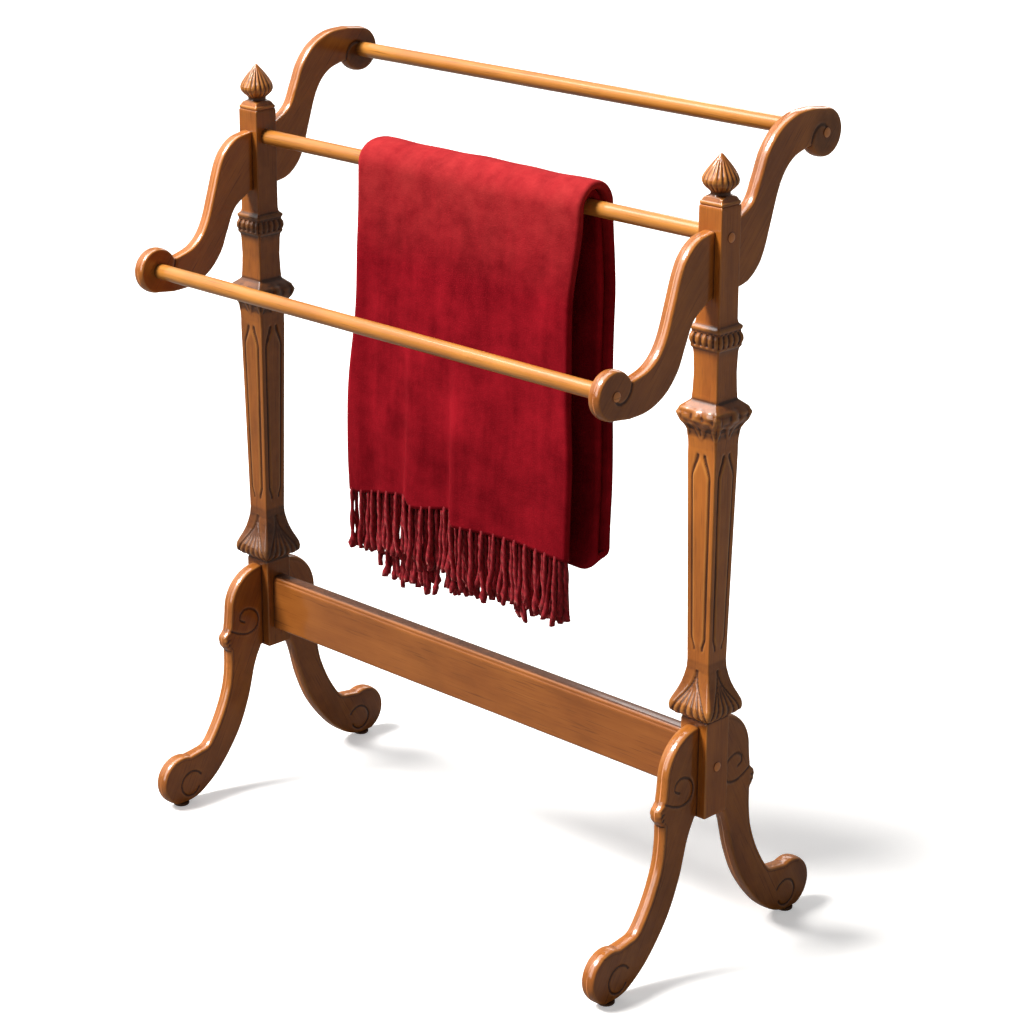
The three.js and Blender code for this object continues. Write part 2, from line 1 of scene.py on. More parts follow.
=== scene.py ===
# %% [markdown]
# # A folded throw on a carved three-rail rack
# The rack is turned, carved and sawn from stained hardwood: two square posts, four S-shaped arms
# that carry three rails, four scrolled legs and one stretcher. A crimson fringed throw, folded in
# four across and in half along, hangs over the middle rail. Everything here is built in metres
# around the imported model, which is loaded first and never changed.

# %% Load the frame and note its box
import math

import bpy
import numpy as np
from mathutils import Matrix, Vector


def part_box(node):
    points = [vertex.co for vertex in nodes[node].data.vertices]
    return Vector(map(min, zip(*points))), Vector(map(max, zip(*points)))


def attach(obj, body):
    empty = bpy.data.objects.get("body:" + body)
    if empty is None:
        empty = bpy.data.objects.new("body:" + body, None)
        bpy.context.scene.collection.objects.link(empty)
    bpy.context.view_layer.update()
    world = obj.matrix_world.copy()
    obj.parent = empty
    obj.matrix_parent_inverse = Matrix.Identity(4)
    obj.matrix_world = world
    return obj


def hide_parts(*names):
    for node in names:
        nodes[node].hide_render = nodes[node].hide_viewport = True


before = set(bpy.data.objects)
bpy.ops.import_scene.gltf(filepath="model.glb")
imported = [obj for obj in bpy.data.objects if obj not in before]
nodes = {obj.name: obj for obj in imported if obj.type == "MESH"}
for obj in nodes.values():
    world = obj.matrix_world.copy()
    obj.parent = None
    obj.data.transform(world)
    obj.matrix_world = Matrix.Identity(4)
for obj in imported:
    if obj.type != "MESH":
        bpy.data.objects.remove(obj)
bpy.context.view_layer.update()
MM = 0.001
BOTH_SIDES = (("left", -1), ("right", 1))

# %% [markdown]
# ## The camera
# A long lens a little above the top of the rack, turned 44 degrees to its right, so that the front
# rail, the throw and the outer side of the right post all show. The camera could be aimed with a
# constraint; here its place comes from the two angles and the distance, which is easier to read.

# %% Camera
def add_object(name, data):
    """An object in the scene that shows the given data."""
    made = bpy.data.objects.new(name, data)
    bpy.context.scene.collection.objects.link(made)
    return made


AZIMUTH, ELEVATION, DISTANCE = math.radians(44.459), math.radians(19.042), 3.116
AIM = Vector((0, 0, 0.45))
camera_data = bpy.data.cameras.new("camera")
camera = add_object("camera", camera_data)
backwards = Vector((
    math.sin(AZIMUTH) * math.cos(ELEVATION),
    -math.cos(AZIMUTH) * math.cos(ELEVATION),
    math.sin(ELEVATION),
))
camera.location = AIM + DISTANCE * backwards
camera.rotation_euler = (-backwards).to_track_quat("-Z", "Y").to_euler()
camera_data.sensor_width, camera_data.lens = 36, 97.84
camera_data.shift_x, camera_data.shift_y = 0.0400, -0.0209
camera_data.clip_start, camera_data.clip_end = 0.05, 60
bpy.context.scene.camera = camera
print("camera at", [round(c, 3) for c in camera.location])

# %% [markdown]
# ## Surfaces from grids
# Nearly every piece is a grid of points, rows by columns, worked out as whole arrays: a section is
# carried along a path, so rows run along the path and columns run round the section. The same
# helper joins the grid into quads, closes its two ends with a fan of triangles, and turns the
# faces outwards by looking at the sign of the volume that they enclose.

# %% Grid helpers
def grid_faces(rows, columns, around=True):
    """Quads between neighbouring points of a grid; with around, the last column meets the first."""
    r = np.arange(rows - 1)[:, None] * columns
    c = np.arange(columns if around else columns - 1)[None, :]
    n = (c + 1) % columns
    return np.stack([r + c, r + n, r + columns + n, r + columns + c], -1).reshape(-1, 4)


def end_fan(start, columns, pole):
    """Triangles from each edge of a ring of points to one pole point."""
    c = np.arange(columns)
    return np.stack([start + c, start + (c + 1) % columns, np.full(columns, pole)], -1)


def enclosed_volume(points, faces):
    """The sum over a face's triangles of the signed volume that each makes with the origin."""
    total = 0.0
    for k in range(1, faces.shape[1] - 1):
        a, b, c = points[faces[:, 0]], points[faces[:, k]], points[faces[:, k + 1]]
        total += (a * np.cross(b, c)).sum() / 6
    return total


def make_piece(name, points, face_sets, material, body, attributes):
    """A mesh object from points and arrays of faces, with its closed surface facing outwards."""
    if sum(enclosed_volume(points, f) for f in face_sets) < 0:
        face_sets = [f[:, ::-1] for f in face_sets]
    mesh = bpy.data.meshes.new(name)
    mesh.from_pydata(points.tolist(), [], [f for s in face_sets for f in s.tolist()])
    for key, values in attributes.items():
        kind, field = ("FLOAT", "value") if values.ndim == 1 else ("FLOAT_VECTOR", "vector")
        layer = mesh.attributes.new(key, kind, "POINT")
        layer.data.foreach_set(field, values.astype(np.float32).ravel())
    mesh.shade_smooth()
    mesh.materials.append(material)
    piece = add_object(name, mesh)
    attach(piece, body)
    return piece


def rack_piece(name, node, grid, material, attributes):
    """A piece of the rack in place of a modelled node: a grid that is closed round its columns,
    with a fan at each end. The attributes are grids too."""
    rows, columns = grid.shape[:2]
    poles = np.stack([grid[0].mean(0), grid[-1].mean(0)])
    points = np.vstack([grid.reshape(-1, 3), poles])
    size = rows * columns
    first = end_fan(0, columns, size)[:, ::-1]
    last = end_fan(size - columns, columns, size + 1)
    flat = {}
    for key, values in attributes.items():
        ends = np.stack([values[0].mean(0), values[-1].mean(0)])
        flat[key] = np.concatenate([values.reshape((size,) + values.shape[2:]), ends])
    faces = [grid_faces(rows, columns), first, last]
    piece = make_piece(name, points, faces, material, "rack", flat)
    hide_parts(node)
    return piece


# %% [markdown]
# ## Where the dark glaze sits
# The rack was stained, then a dark glaze was wiped over it: it stays in carved hollows and rubs
# off proud edges. That is a property of the shape, so it is measured from the grid itself. A point
# that lies behind the middle of its neighbours is in a hollow, and one in front is on an edge.

# %% Hollows and edges of a grid
def grid_normals(grid):
    """Unit cross product of the differences round the columns and along the rows."""
    across = np.roll(grid, -1, 1) - np.roll(grid, 1, 1)
    normal = np.cross(across, np.gradient(grid, axis=0))
    return normal / np.maximum(np.linalg.norm(normal, axis=-1, keepdims=True), 1e-12)


def chord_gap(before, point, after, normal, reach):
    """How far behind the chord between two neighbours a point lies, on the normal. The chord is cut
    in the ratio of the two distances, and a chord longer than the reach counts for less."""
    a = np.linalg.norm(point - before, axis=-1, keepdims=True) + 1e-9
    b = np.linalg.norm(after - point, axis=-1, keepdims=True) + 1e-9
    gap = (((before * b + after * a) / (a + b) - point) * normal).sum(-1)
    return gap * np.minimum(1, (reach / ((a + b)[..., 0] / 2)) ** 2)


def hollows(grid, outward, reaches=(1, 2, 4)):
    """How far behind its neighbours each point lies, in metres, averaged over several reaches."""
    normal = grid_normals(grid)
    normal *= np.sign((normal * outward).sum(-1).mean()) or 1
    depth = np.zeros(grid.shape[:2])
    for k in reaches:
        depth += chord_gap(np.roll(grid, k, 1), grid, np.roll(grid, -k, 1), normal, 3 * MM)
        depth[k:-k] += chord_gap(grid[: -2 * k], grid[k:-k], grid[2 * k:], normal[k:-k], 3 * MM)
    return depth / len(reaches)


def glaze_and_wear(grid, outward, full, rub):
    """Two grids from 0 to 1: glaze where a point is in a hollow, wear where it is on an edge; rub
    says how much of the wear an edge of this piece shows."""
    depth = hollows(grid, outward)
    return np.clip(depth / full, 0, 1) ** 1.2, rub * np.clip(-depth / full, 0, 1) ** 1.5


def smoothstep(low, high, x):
    """0 below low, 1 above high, and 3t^2 - 2t^3 between them; low above high turns it round."""
    t = np.clip((x - low) / (high - low), 0, 1)
    return t * t * (3 - 2 * t)


def hump(x, width):
    """1 at zero, falling away on both sides as exp(-(x / width)^2)."""
    return np.exp(-(x / width) ** 2)


# %% [markdown]
# ## A small language for materials
# A material is a tree of nodes. Wrapping a socket in a class with +, - and * lets the maths be
# written as one line of Python, and one method adds any other node with its settings and inputs.

# %% Material helper
# The place of each wanted output among the outputs of its node
GENERATED, OBJECT = 0, 3
VECTOR, FACTOR = 1, 2
IS_CAMERA_RAY, IS_GLOSSY_RAY = 0, 3


class Wire:
    """An output socket in a material's tree. Arithmetic on it adds Math nodes."""

    def __init__(self, tree, socket=None):
        self.tree, self.socket = tree, socket

    def node(self, kind, inputs=(), out=0, **settings):
        """Adds a node: first its settings, then the value or the link of each input socket."""
        made = self.tree.nodes.new("ShaderNode" + kind)
        for key, value in settings.items():
            setattr(made, key, value)
        for key, value in dict(inputs).items():
            if isinstance(value, Wire):
                self.tree.links.new(value.socket, made.inputs[key])
            else:
                made.inputs[key].default_value = value
        return Wire(self.tree, made.outputs[out])

    def math(self, operation, first, second=0.0, clamp=False):
        return self.node("Math", {0: first, 1: second}, operation=operation, use_clamp=clamp)

    def __add__(self, other):
        return self.math("ADD", self, other)

    def __sub__(self, other):
        return self.math("SUBTRACT", self, other)

    def __rsub__(self, other):
        return self.math("SUBTRACT", other, self)

    def __mul__(self, other):
        return self.math("MULTIPLY", self, other)

    __radd__, __rmul__ = __add__, __mul__

    def clamped(self):
        return self.math("ADD", self, 0.0, clamp=True)

    def blend(self, factor, first, second):
        """Mixes two colours."""
        return self.node("Mix", {0: factor, 6: first, 7: second}, out=2, data_type="RGBA")

    def attribute(self, name, out=FACTOR):
        """A point attribute, as a number or as a vector."""
        return self.node("Attribute", out=out, attribute_name=name)

    def place(self):
        """The object's own coordinates, in metres."""
        return self.node("TexCoord", out=OBJECT)

    def part(self, vector, axis):
        """One of the three numbers of a vector."""
        return self.node("SeparateXYZ", {0: vector}, out=axis)

    def noise(self, vector, scale, detail=3.0, roughness=0.5, stretch=(1, 1, 1)):
        """Noise from about 0 to 1 on a vector stretched by three factors."""
        place = self.node("Mapping", {0: vector, 3: stretch})
        inputs = {"Vector": place, "Scale": scale, "Detail": detail, "Roughness": roughness}
        return self.node("TexNoise", inputs)

    def bump(self, height, strength, distance):
        return self.node("Bump", {"Strength": strength, "Distance": distance, "Height": height})


def new_material(name, constants):
    """A material with one Principled shader; constants are set on its own sockets."""
    material = bpy.data.materials.new(name)
    material.use_nodes = True
    tree = material.node_tree
    shader = tree.nodes["Principled BSDF"]
    for key, value in constants.items():
        shader.inputs[key].default_value = value

    def connect(**links):
        for key, wire in links.items():
            tree.links.new(wire.socket, shader.inputs[key.replace("_", " ")])

    return material, Wire(tree), connect


# %% [markdown]
# ## Stained and glazed hardwood
# Every wooden piece stores three attributes: grain, its own coordinates in metres with the first
# one along the fibres, so that the figure runs down a leg or along a rail; a darkening, where the
# dark wiping glaze stays, with painted shade added over the left post; and wear, where handling has
# rubbed an edge lighter. The figure is noise drawn out along the fibres at three scales, and the
# same fibres give a faint relief under the lacquer.

# %% Wood material
def rgba(red, green, blue):
    return (red, green, blue, 1)


UMBER = rgba(0.040, 0.0145, 0.0075)


def wood(name, light, dark, worn_colour, figure):
    """A stained wood between two tones, darkened towards umber by glaze and by painted shade; figure scales
    the contrast of the grain.
    """
    constants = {"Coat Roughness": 0.12, "Coat IOR": 1.5, "Specular IOR Level": 0.12}
    material, w, connect = new_material(name, constants)
    grain = w.attribute("grain", out=VECTOR)
    cloud = w.noise(grain, 7, 3, 0.55, stretch=(1, 2.4, 2.4))
    band = w.noise(grain, 26, 4, 0.6, stretch=(0.22, 2.2, 2.2))
    fibre = w.noise(grain, 160, 3, 0.6, stretch=(0.07, 2.4, 2.4))
    pore = w.noise(grain, 420, 2, 0.5, stretch=(0.05, 1.6, 1.6))
    tone = (cloud - 0.5) * 1.6 + (band - 0.5) * 1.5 * figure + (fibre - 0.5) * 0.9 * figure + 0.55
    colour = w.blend(tone.clamped(), dark, light)
    specks = ((0.40 - pore) * 7).clamped() * 0.45
    colour = w.blend(specks, colour, UMBER)
    patchy = w.noise(grain, 60, 3, 0.6)
    worn = (w.attribute("wear") * 1.3 * (patchy + 0.3)).clamped() * 0.6
    colour = w.blend(worn, colour, worn_colour)
    blotch = w.noise(grain, 19, 4, 0.6, stretch=(0.7, 1.2, 1.2))
    held = ((blotch - 0.47) * 1.6).clamped() * 0.5
    # Painted shade: the attribute read here holds the glaze and, on the left post, shade painted over the
    # whole post; with random blotches it draws the colour towards umber.
    darkening = (w.attribute("darkening") * 1.25 * (patchy * 0.7 + 0.6) + held).clamped() * 0.88
    colour = w.blend(darkening, colour, UMBER)
    connect(
        Base_Color=colour,
        Roughness=(0.36 + (patchy - 0.5) * 0.16 + darkening * 0.22 + specks * 0.2).clamped(),
        Coat_Weight=(0.75 - darkening * 0.2).clamped(),
        Normal=w.bump(fibre * 0.6 + patchy * 0.25 - specks * 0.5, 0.35, 0.0004),
    )
    return material


carved_wood = wood(
    "carved wood", rgba(0.60, 0.190, 0.024), rgba(0.27, 0.068, 0.010), rgba(0.78, 0.33, 0.07), 0.5)
rail_wood = wood(
    "rail wood", rgba(0.60, 0.250, 0.046), rgba(0.43, 0.145, 0.021), rgba(0.80, 0.44, 0.14), 0.8)
board_wood = wood(
    "stretcher wood", rgba(0.37, 0.120, 0.022), rgba(0.22, 0.062, 0.011), rgba(0.56, 0.24, 0.06), 0.6)
button_wood = wood(
    "button wood", rgba(0.95, 0.36, 0.10), rgba(0.80, 0.26, 0.06), rgba(0.95, 0.42, 0.12), 0.4)
print("woods:", [m.name for m in (carved_wood, rail_wood, board_wood, button_wood)])


# %% [markdown]
# ## The square section
# Posts and finials have a square section with rounded corners, whose half side and corner radius
# change with height. One section function covers both, because a square whose corner radius equals
# its half side is a circle. Points crowd towards the corners, where the carving is finest.

# %% Rounded square section
def square_section(half, radius, per_side):
    """Rows of a rounded square. On each side u runs from -1 to 1: within the flat part a point is
    (half, u half); past it, it turns on the corner's arc through 45 degrees. Returns the points in
    the plane, the outward directions, u, and the distance across the side from its middle."""
    t = np.linspace(-1, 1, per_side, endpoint=False)
    u = 0.5 * t + 0.5 * np.sin(np.pi / 2 * t)
    h, r = half[:, None], np.minimum(radius, half)[:, None]
    across = u[None, :] * h
    past = np.clip((np.abs(across) - (h - r)) / r, 0, 1) * np.pi / 4
    out = h - r + r * np.cos(past)
    side = np.where(past > 0, np.sign(across) * (h - r + r * np.sin(past)), across)
    lean_out, lean_side = np.cos(past), np.sign(across) * np.sin(past)
    points, normals = [], []
    for k in range(4):
        c, s = round(math.cos(k * math.pi / 2)), round(math.sin(k * math.pi / 2))
        points.append(np.stack([c * out - s * side, s * out + c * side], -1))
        normals.append(np.stack([c * lean_out - s * lean_side, s * lean_out + c * lean_side], -1))
    tile = lambda a: np.concatenate([a] * 4, 1)
    u_grid = np.broadcast_to(u[None, :], across.shape)
    return np.concatenate(points, 1), np.concatenate(normals, 1), tile(u_grid), tile(across)


def profile(levels, table, ease):
    """A column of the table between its levels in straight lines, then eased over a short height
    by averaging, so that arrises are softened as sandpaper leaves them."""
    fine = np.linspace(table[0, 0], table[-1, 0], 6001)
    value = np.interp(fine, table[:, 0], table[:, 1])
    width = max(1, int(ease / (fine[1] - fine[0])))
    padded = np.pad(value, width, mode="edge")
    mean = np.convolve(padded, np.ones(2 * width + 1) / (2 * width + 1), "valid")
    return np.interp(levels, fine, mean)


# %% [markdown]
# ## The carved posts
# Each post is one square length: a plain foot block, a bell carved as fans, a slender tapered shaft
# with a sunk line down each side of every corner, a collar of curling leaves, a waist, a band of
# small lobes, and a plain upper block. The relief could be sculpted by hand; as heights over
# (u, level) each motif is one short formula, and it repeats exactly on all four sides.

# %% Post: levels, half side and corner radius, in millimetres
POST_X = 346.5
spans = [
    (173, 173.4, 2), (174, 178, 4), (184, 276, 8), (280, 283, 6), (283.6, 350, 78),
    (352, 580, 116), (581, 640, 84), (642, 686, 12), (687, 714, 46), (717, 826, 9), (830, 834.5, 8),
]
level = np.concatenate([np.linspace(a, b, n) for a, b, n in spans])
half_table = np.array([
    (173, 17.6), (174.2, 18.25), (281.6, 18.25), (283, 17.4), (285.5, 18.6), (287, 24.2),
    (291, 28.0), (296, 28.8), (301, 28.0), (307, 25.4), (314, 22.2), (321, 19.5), (329, 17.3),
    (338, 15.5), (347, 14.9), (460, 16.7), (584, 18.8), (592, 19.4), (599, 20.4), (604, 22.0),
    (610, 26.6), (615, 28.5), (620, 28.6), (625, 26.8), (629, 22.2), (633, 17.4), (640, 16.6), (661, 15.9),
    (684, 16.6), (687, 17.4), (689, 19.2), (692, 19.6), (696, 20.9), (700, 20.6), (704, 19.0),
    (706, 18.4), (707.5, 19.6), (710.5, 19.4), (712.2, 16.6), (715, 15.4), (720, 15.25),
    (833.2, 15.25), (834.5, 14.6),
])
corner_table = np.array([
    (173, 1.3), (282, 1.3), (286, 3), (296, 4), (312, 3), (330, 1.8), (350, 1.5), (575, 1.5),
    (596, 3.5), (612, 9), (622, 8), (627, 4), (638, 1.5), (686, 1.5), (692, 3.5), (704, 3.5), (714, 1.2),
    (834.5, 1.2),
])
post_half = profile(level, half_table, 1.1)
post_corner = profile(level, corner_table, 2)
section, lean, u, across = square_section(post_half, post_corner, 44)
z = level[:, None] + 0 * u
print("post grid", u.shape)


# %% Post: the carved relief, in millimetres
def window(x, low, high, soft):
    """1 between low and high, falling to 0 over soft outside them."""
    return smoothstep(low - soft, low, x) * smoothstep(high + soft, high, x)


def lobes(x, count):
    """Rounded lobes with sharp valleys between them: |cos| of the lobe number times pi."""
    return np.abs(np.cos(np.pi * count * x))


def bell_fans(across, z):
    """Five ribs on each side that spread from a point above to the lip below, inside a pointed
    arch. The rib number is the distance across divided by the arch's half width at that height."""
    arch = 1.2 + 22.6 * (1 - smoothstep(286, 340, z)) ** 1.35
    rib = across / arch
    inside = smoothstep(1.06, 0.96, np.abs(rib))
    valley = (1 - lobes(np.clip(rib, -1, 1), 2.5)) ** 0.9
    depth = 0.3 + 1.6 * smoothstep(326, 290, z)
    field = -1.0 * smoothstep(296, 322, z) - depth * valley
    line = -0.8 * hump((np.abs(rib) - 1.02) * arch, 1.7) * smoothstep(344, 336, z)
    return (field * inside + line) * window(z, 286.5, 337, 3)


def shaft_lines(across, z, half):
    """A sunk line near each corner of a side, and a panel between the two lines that stands a little
    proud. At both ends a line swings away from the corner, and at the top it widens like a comma."""
    edge = half[:, None] - np.abs(across)
    inset = 6.6 + 7.5 * smoothstep(550, 577, z) + 3.2 * smoothstep(376, 362, z)
    breadth = 1.15 + 0.9 * window(z, 562, 572, 9)
    line = hump(edge - inset, breadth) * window(z, 362, 576, 2.5)
    panel = 0.8 * smoothstep(0.3, 2.2, edge - inset) * window(z, 370, 566, 10)
    return -1.0 * line * (1 + 0.6 * smoothstep(556, 568, z)) + panel


def leaf_collar(u, z):
    """Leaves that rise from the shaft and curl outwards: one at the middle of a side and one at each
    corner. A leaf's lip is a fat roll over a hollow, with a smaller lobe between two leaves, and
    below it the leaf narrows to a point on the shaft, with a groove down its midrib."""
    leaf = np.cos(np.pi * u) ** 2
    from_rib = np.abs(np.mod(u + 0.5, 1) - 0.5)
    tip = 615.5 + 3.5 * leaf
    lobe = np.abs(np.cos(np.pi * u * 2))
    roll = hump(z - tip, 5.2) * (1.7 * leaf - 2.0 + 1.9 * lobe)
    under = -1.1 * hump(z - tip + 9.5, 3.0) * (1 - 0.8 * leaf)
    edge = 0.38 * np.clip((z - 588) / 20, 0, 1)
    blade = window(z, 598, 608, 9) * (0.9 * smoothstep(edge + 0.09, edge - 0.09, from_rib) - 0.45)
    midrib = -0.6 * hump(from_rib, 0.06) * window(z, 599, 606, 6)
    lumps = 0.5 * np.sin(u * 7 + z * 0.35 + 1) * np.sin(z * 0.45 - u * 4) * window(z, 606, 626, 4)
    return roll + under + blade + midrib + lumps


def lobe_band(u, z):
    """Five upright lobes on each side between two plain fillets, parted by deep valleys."""
    valley = (1 - lobes(u, 2.5)) ** 1.3
    return -2.1 * valley * window(z, 692.5, 703, 2.2) + 0.5 * lobes(u, 2.5) * window(z, 694, 700, 4)


relief = bell_fans(across, z) + shaft_lines(across, z, post_half)
relief += leaf_collar(u, z) * window(z, 596, 627, 5) + lobe_band(u, z)
post_plan = section + relief[..., None] * lean
print("relief from %.2f to %.2f mm" % (relief.min(), relief.max()))


# %% Posts: both sides
FIGURE_SHIFT = np.array([0.37, 0.11, 0.23])


def wood_attributes(grid, outward, grain, seed, extra_darkness, full, rub=0.8):
    """The three wood attributes of a grid: its grain coordinates in metres, shifted by the seed so
    that no two pieces show the same figure; and the glaze and wear measured from its shape, with an
    extra darkness given with the piece added to the glaze. The extra darkness holds glaze at joints
    and in carving, and painted shade over the left post."""
    darkening, wear = glaze_and_wear(grid, outward, full, rub)
    return {"grain": grain + FIGURE_SHIFT * seed, "darkening": np.clip(darkening + extra_darkness, 0, 1), "wear": wear}


def left_and_right(name, node, plan, heights, lean, first_seed, extra_darkness_pair, full):
    """A left and a right upright from one plan about its own axis, in mm; the fibres run upwards."""
    for k, (side, sign) in enumerate(BOTH_SIDES):
        grid = np.concatenate([plan, heights[..., None]], -1) * MM
        grid[..., 0] += sign * POST_X * MM
        outward = np.concatenate([lean, 0 * heights[..., None]], -1)
        attributes = wood_attributes(grid, outward, grid[..., [2, 0, 1]], first_seed + k, extra_darkness_pair[k], full)
        piece = rack_piece(name + side, node + side, grid, carved_wood, attributes)
        print(piece.name, len(piece.data.polygons), "faces")


carved = window(level, 286, 345, 6) + window(level, 600, 632, 8) + window(level, 688, 711, 3)
post_soot = 0.30 * carved[:, None] + 0.2 * np.clip(-relief / 2.4, 0, 1)
post_soot += 0.35 * hump(level - 283.5, 2.0)[:, None]
# Painted shade: the whole left post is darkened, 0.36 against 0.03 on the right post.
left_and_right("carved_post_", "post_", post_plan, z, lean, 1,
               (post_soot + 0.36, post_soot + 0.03), 0.5 * MM)

# %% [markdown]
# ## The bud finials
# A stepped square cap sits on the upper block; above it a short round neck opens into a squat bud
# whose ribs run up to a point. It is the same rounded-square section: the corner radius grows to
# the half side, and the square becomes round.

# %% Finials
bud_table = np.array([
    (834.8, 14.2), (835.8, 14.9), (838.2, 14.9), (838.8, 13.9), (839.6, 13.5), (842.6, 11.9),
    (844, 10.9), (845.4, 10.1), (847.5, 10.2), (849.2, 11.6), (851.6, 14.4), (855, 17.6),
    (858, 18.9), (861, 18.9), (864.5, 17.6), (869, 14.7), (874, 11.0), (879, 7.0), (883, 3.7),
    (885.8, 1.0),
])
bud_corner = np.array([(834.8, 1.2), (842.6, 1.2), (844.5, 10.5), (850, 19), (885.8, 19)])
bud_level = np.concatenate([
    np.linspace(834.8, 836, 4), np.linspace(838, 850.2, 30), np.linspace(851, 885.8, 44),
])
bud_half = profile(bud_level, bud_table, 0.45)
section, bud_lean, bud_u, _ = square_section(bud_half, profile(bud_level, bud_corner, 0.6), 36)
bud_z = bud_level[:, None] + 0 * bud_u
turn = np.arctan2(bud_lean[..., 1], bud_lean[..., 0])
rib = 1.15 * (1 - np.abs(np.cos(10 * turn))) ** 1.1 + 0.3 * np.sin(23 * turn + bud_z / 6)
bud_relief = -rib * window(bud_z, 853, 878, 6) * np.minimum(1, bud_half / 14)[:, None]
bud_plan = section + bud_relief[..., None] * bud_lean
bud_soot = 0.12 + 0.5 * hump(bud_z - 846.5, 3.5) - 0.1 * bud_relief
left_and_right("bud_finial_", "finial_", bud_plan, bud_z, bud_lean, 5, (bud_soot, bud_soot), 0.35 * MM)
print("finials up to", round(bud_level[-1], 1), "mm")

# %% [markdown]
# ## Sawn shapes with two edges
# Arms and legs are sawn from a board and their edges are crowned. Such a shape is a strip between
# two long edges that start at the joint and meet at the far tip. Rungs join the two edges, and the
# board's section is carried along them: across one face, round the edge, and back across the other.
# The thickness at a point depends on how far it lies from the nearest edge, which crowns the edge
# evenly however the rungs lean, and engraved lines are cut in by their distance in the same way.

# %% Curves in the plane of a board
def through(points, per=10):
    """Smooth curve through points: a cubic between two of them, whose slope at each point is half
    the step between that point's neighbours."""
    p = np.array(points, float)
    q = np.vstack([p[:1], p, p[-1:]])
    p0, p1, p2, p3 = (q[k: len(q) - 3 + k, None, :] for k in range(4))
    t = np.linspace(0, 1, per, endpoint=False)[None, :, None]
    a, b = (p2 - p0) / 2, (p3 - p1) / 2
    curve = (2 * t**3 - 3 * t**2 + 1) * p1 + (t**3 - 2 * t**2 + t) * a
    curve = curve + (3 * t**2 - 2 * t**3) * p2 + (t**3 - t**2) * b
    return np.vstack([curve.reshape(-1, 2), p[-1:]])


def arc(centre, radius, start, end, steps=40):
    """Points on a circle from one angle to another, in degrees."""
    a = np.radians(np.linspace(start, end, steps))
    return np.array(centre) + radius * np.stack([np.cos(a), np.sin(a)], -1)


def spiral(centre, radii, start, end, steps=70):
    """Points whose radius changes evenly from the first to the second as the angle turns."""
    a, r = np.radians(np.linspace(start, end, steps)), np.linspace(*radii, steps)
    return np.array(centre) + r[:, None] * np.stack([np.cos(a), np.sin(a)], -1)


def run_length(line):
    """Distance along a broken line up to each of its points."""
    return np.concatenate([[0], np.cumsum(np.linalg.norm(np.diff(line, axis=0), axis=1))])


def along(line, lengths):
    """Points at given distances along a broken line."""
    run = run_length(line)
    return np.stack([np.interp(lengths, run, line[:, k]) for k in range(2)], -1)


def distance(points, line):
    """Distance from each point to a broken line: the least over its segments."""
    a, step = line[:-1], np.diff(line, axis=0)
    away = points[..., None, :] - a
    t = np.clip((away * step).sum(-1) / np.maximum((step**2).sum(-1), 1e-12), 0, 1)
    return np.linalg.norm(away - t[..., None] * step, axis=-1).min(-1)


# %% The board between two edges
def rungs(edge_a, edge_b, matches, spacing, ends, middle):
    """Points between two edges. Matches pair a point near one edge with a point near the other;
    between two pairs both edges are divided evenly. Each rung has points at the given distances
    from both of its ends, and evenly spaced ones between."""
    run_a, run_b = run_length(edge_a), run_length(edge_b)
    place = lambda line, run, p: run[np.argmin(np.linalg.norm(line - np.array(p), axis=1))]
    at_a = [0] + [place(edge_a, run_a, p) for p, _ in matches] + [run_a[-1]]
    at_b = [0] + [place(edge_b, run_b, p) for _, p in matches] + [run_b[-1]]
    keys = np.cumsum([0] + [max(a, b, 1) for a, b in zip(np.diff(at_a), np.diff(at_b))])
    t = np.linspace(0, keys[-1], int(keys[-1] / spacing))[:-1]
    a, b = along(edge_a, np.interp(t, keys, at_a)), along(edge_b, np.interp(t, keys, at_b))
    length = np.linalg.norm(b - a, axis=1)[:, None]
    close = np.minimum(ends[None, :], 0.4 * length * ends / ends[-1]) / length
    even = np.linspace(0, 1, middle + 2)[1:-1]
    between = close[:, -1:] + (1 - 2 * close[:, -1:]) * even
    w = np.concatenate([close, between, 1 - close[:, ::-1]], 1)[..., None]
    return a[:, None, :] * (1 - w) + b[:, None, :] * w


RUNG_SPACING, RUNG_POINTS = 1.2, 46


def crowned_board(edge_a, edge_b, matches, thickness, crown, engrave):
    """The plan points of both faces as a loop of columns, their height off the board's middle, and
    the depth cut by engraving. The edge is half an ellipse: at a distance d from it, less than the
    crown c, the half thickness is h sqrt(1 - ((c - d) / c)^2), which leaves a crisp arris."""
    ends = crown * (1 - np.cos(np.radians([0, 9, 20, 32, 45, 58, 71, 83, 96])))
    plan = rungs(edge_a, edge_b, matches, RUNG_SPACING, ends, RUNG_POINTS)
    d = np.minimum(distance(plan, edge_a), distance(plan, edge_b))
    short = np.clip(crown - d, 0, crown) / crown
    height = thickness / 2 * np.sqrt(1 - short**2)
    cut = engrave(plan)
    face = height - cut * smoothstep(0, 2.4, d)
    loop = np.concatenate([plan, plan[:, ::-1]], 1)
    return loop, np.concatenate([face, -face[:, ::-1]], 1), np.concatenate([cut, cut[:, ::-1]], 1)


def line_cut(plan, line, depth, width):
    """A V-tool line: depth falls off with distance from the line as a soft hump."""
    return depth * hump(distance(plan, line), width)


# %% [markdown]
# ## Arms
# Four equal arms are dowelled to the posts' front and rear faces. A front arm sweeps down to its
# volute, and a rear arm is the same one turned half a turn about the middle rail, so it sweeps up.
# A line cut into both faces follows the volute round, like a rolled-up scroll seen from its end.

# %% Arm outline and engraving, in millimetres
ARM_REACH, ARM_DROP, VOLUTE, ARM_THICK = 143.75, 106.6, 26.0, 15.0
POST_FACE, ARM_MIDDLE, GAP = 15.25, 777.5, 0.3
ARM_TIP, NOTCH = 14, 154.8  # angles on the volute, in degrees


def arm_points(pairs):
    return [(o * ARM_REACH, -d * ARM_DROP) for o, d in pairs]


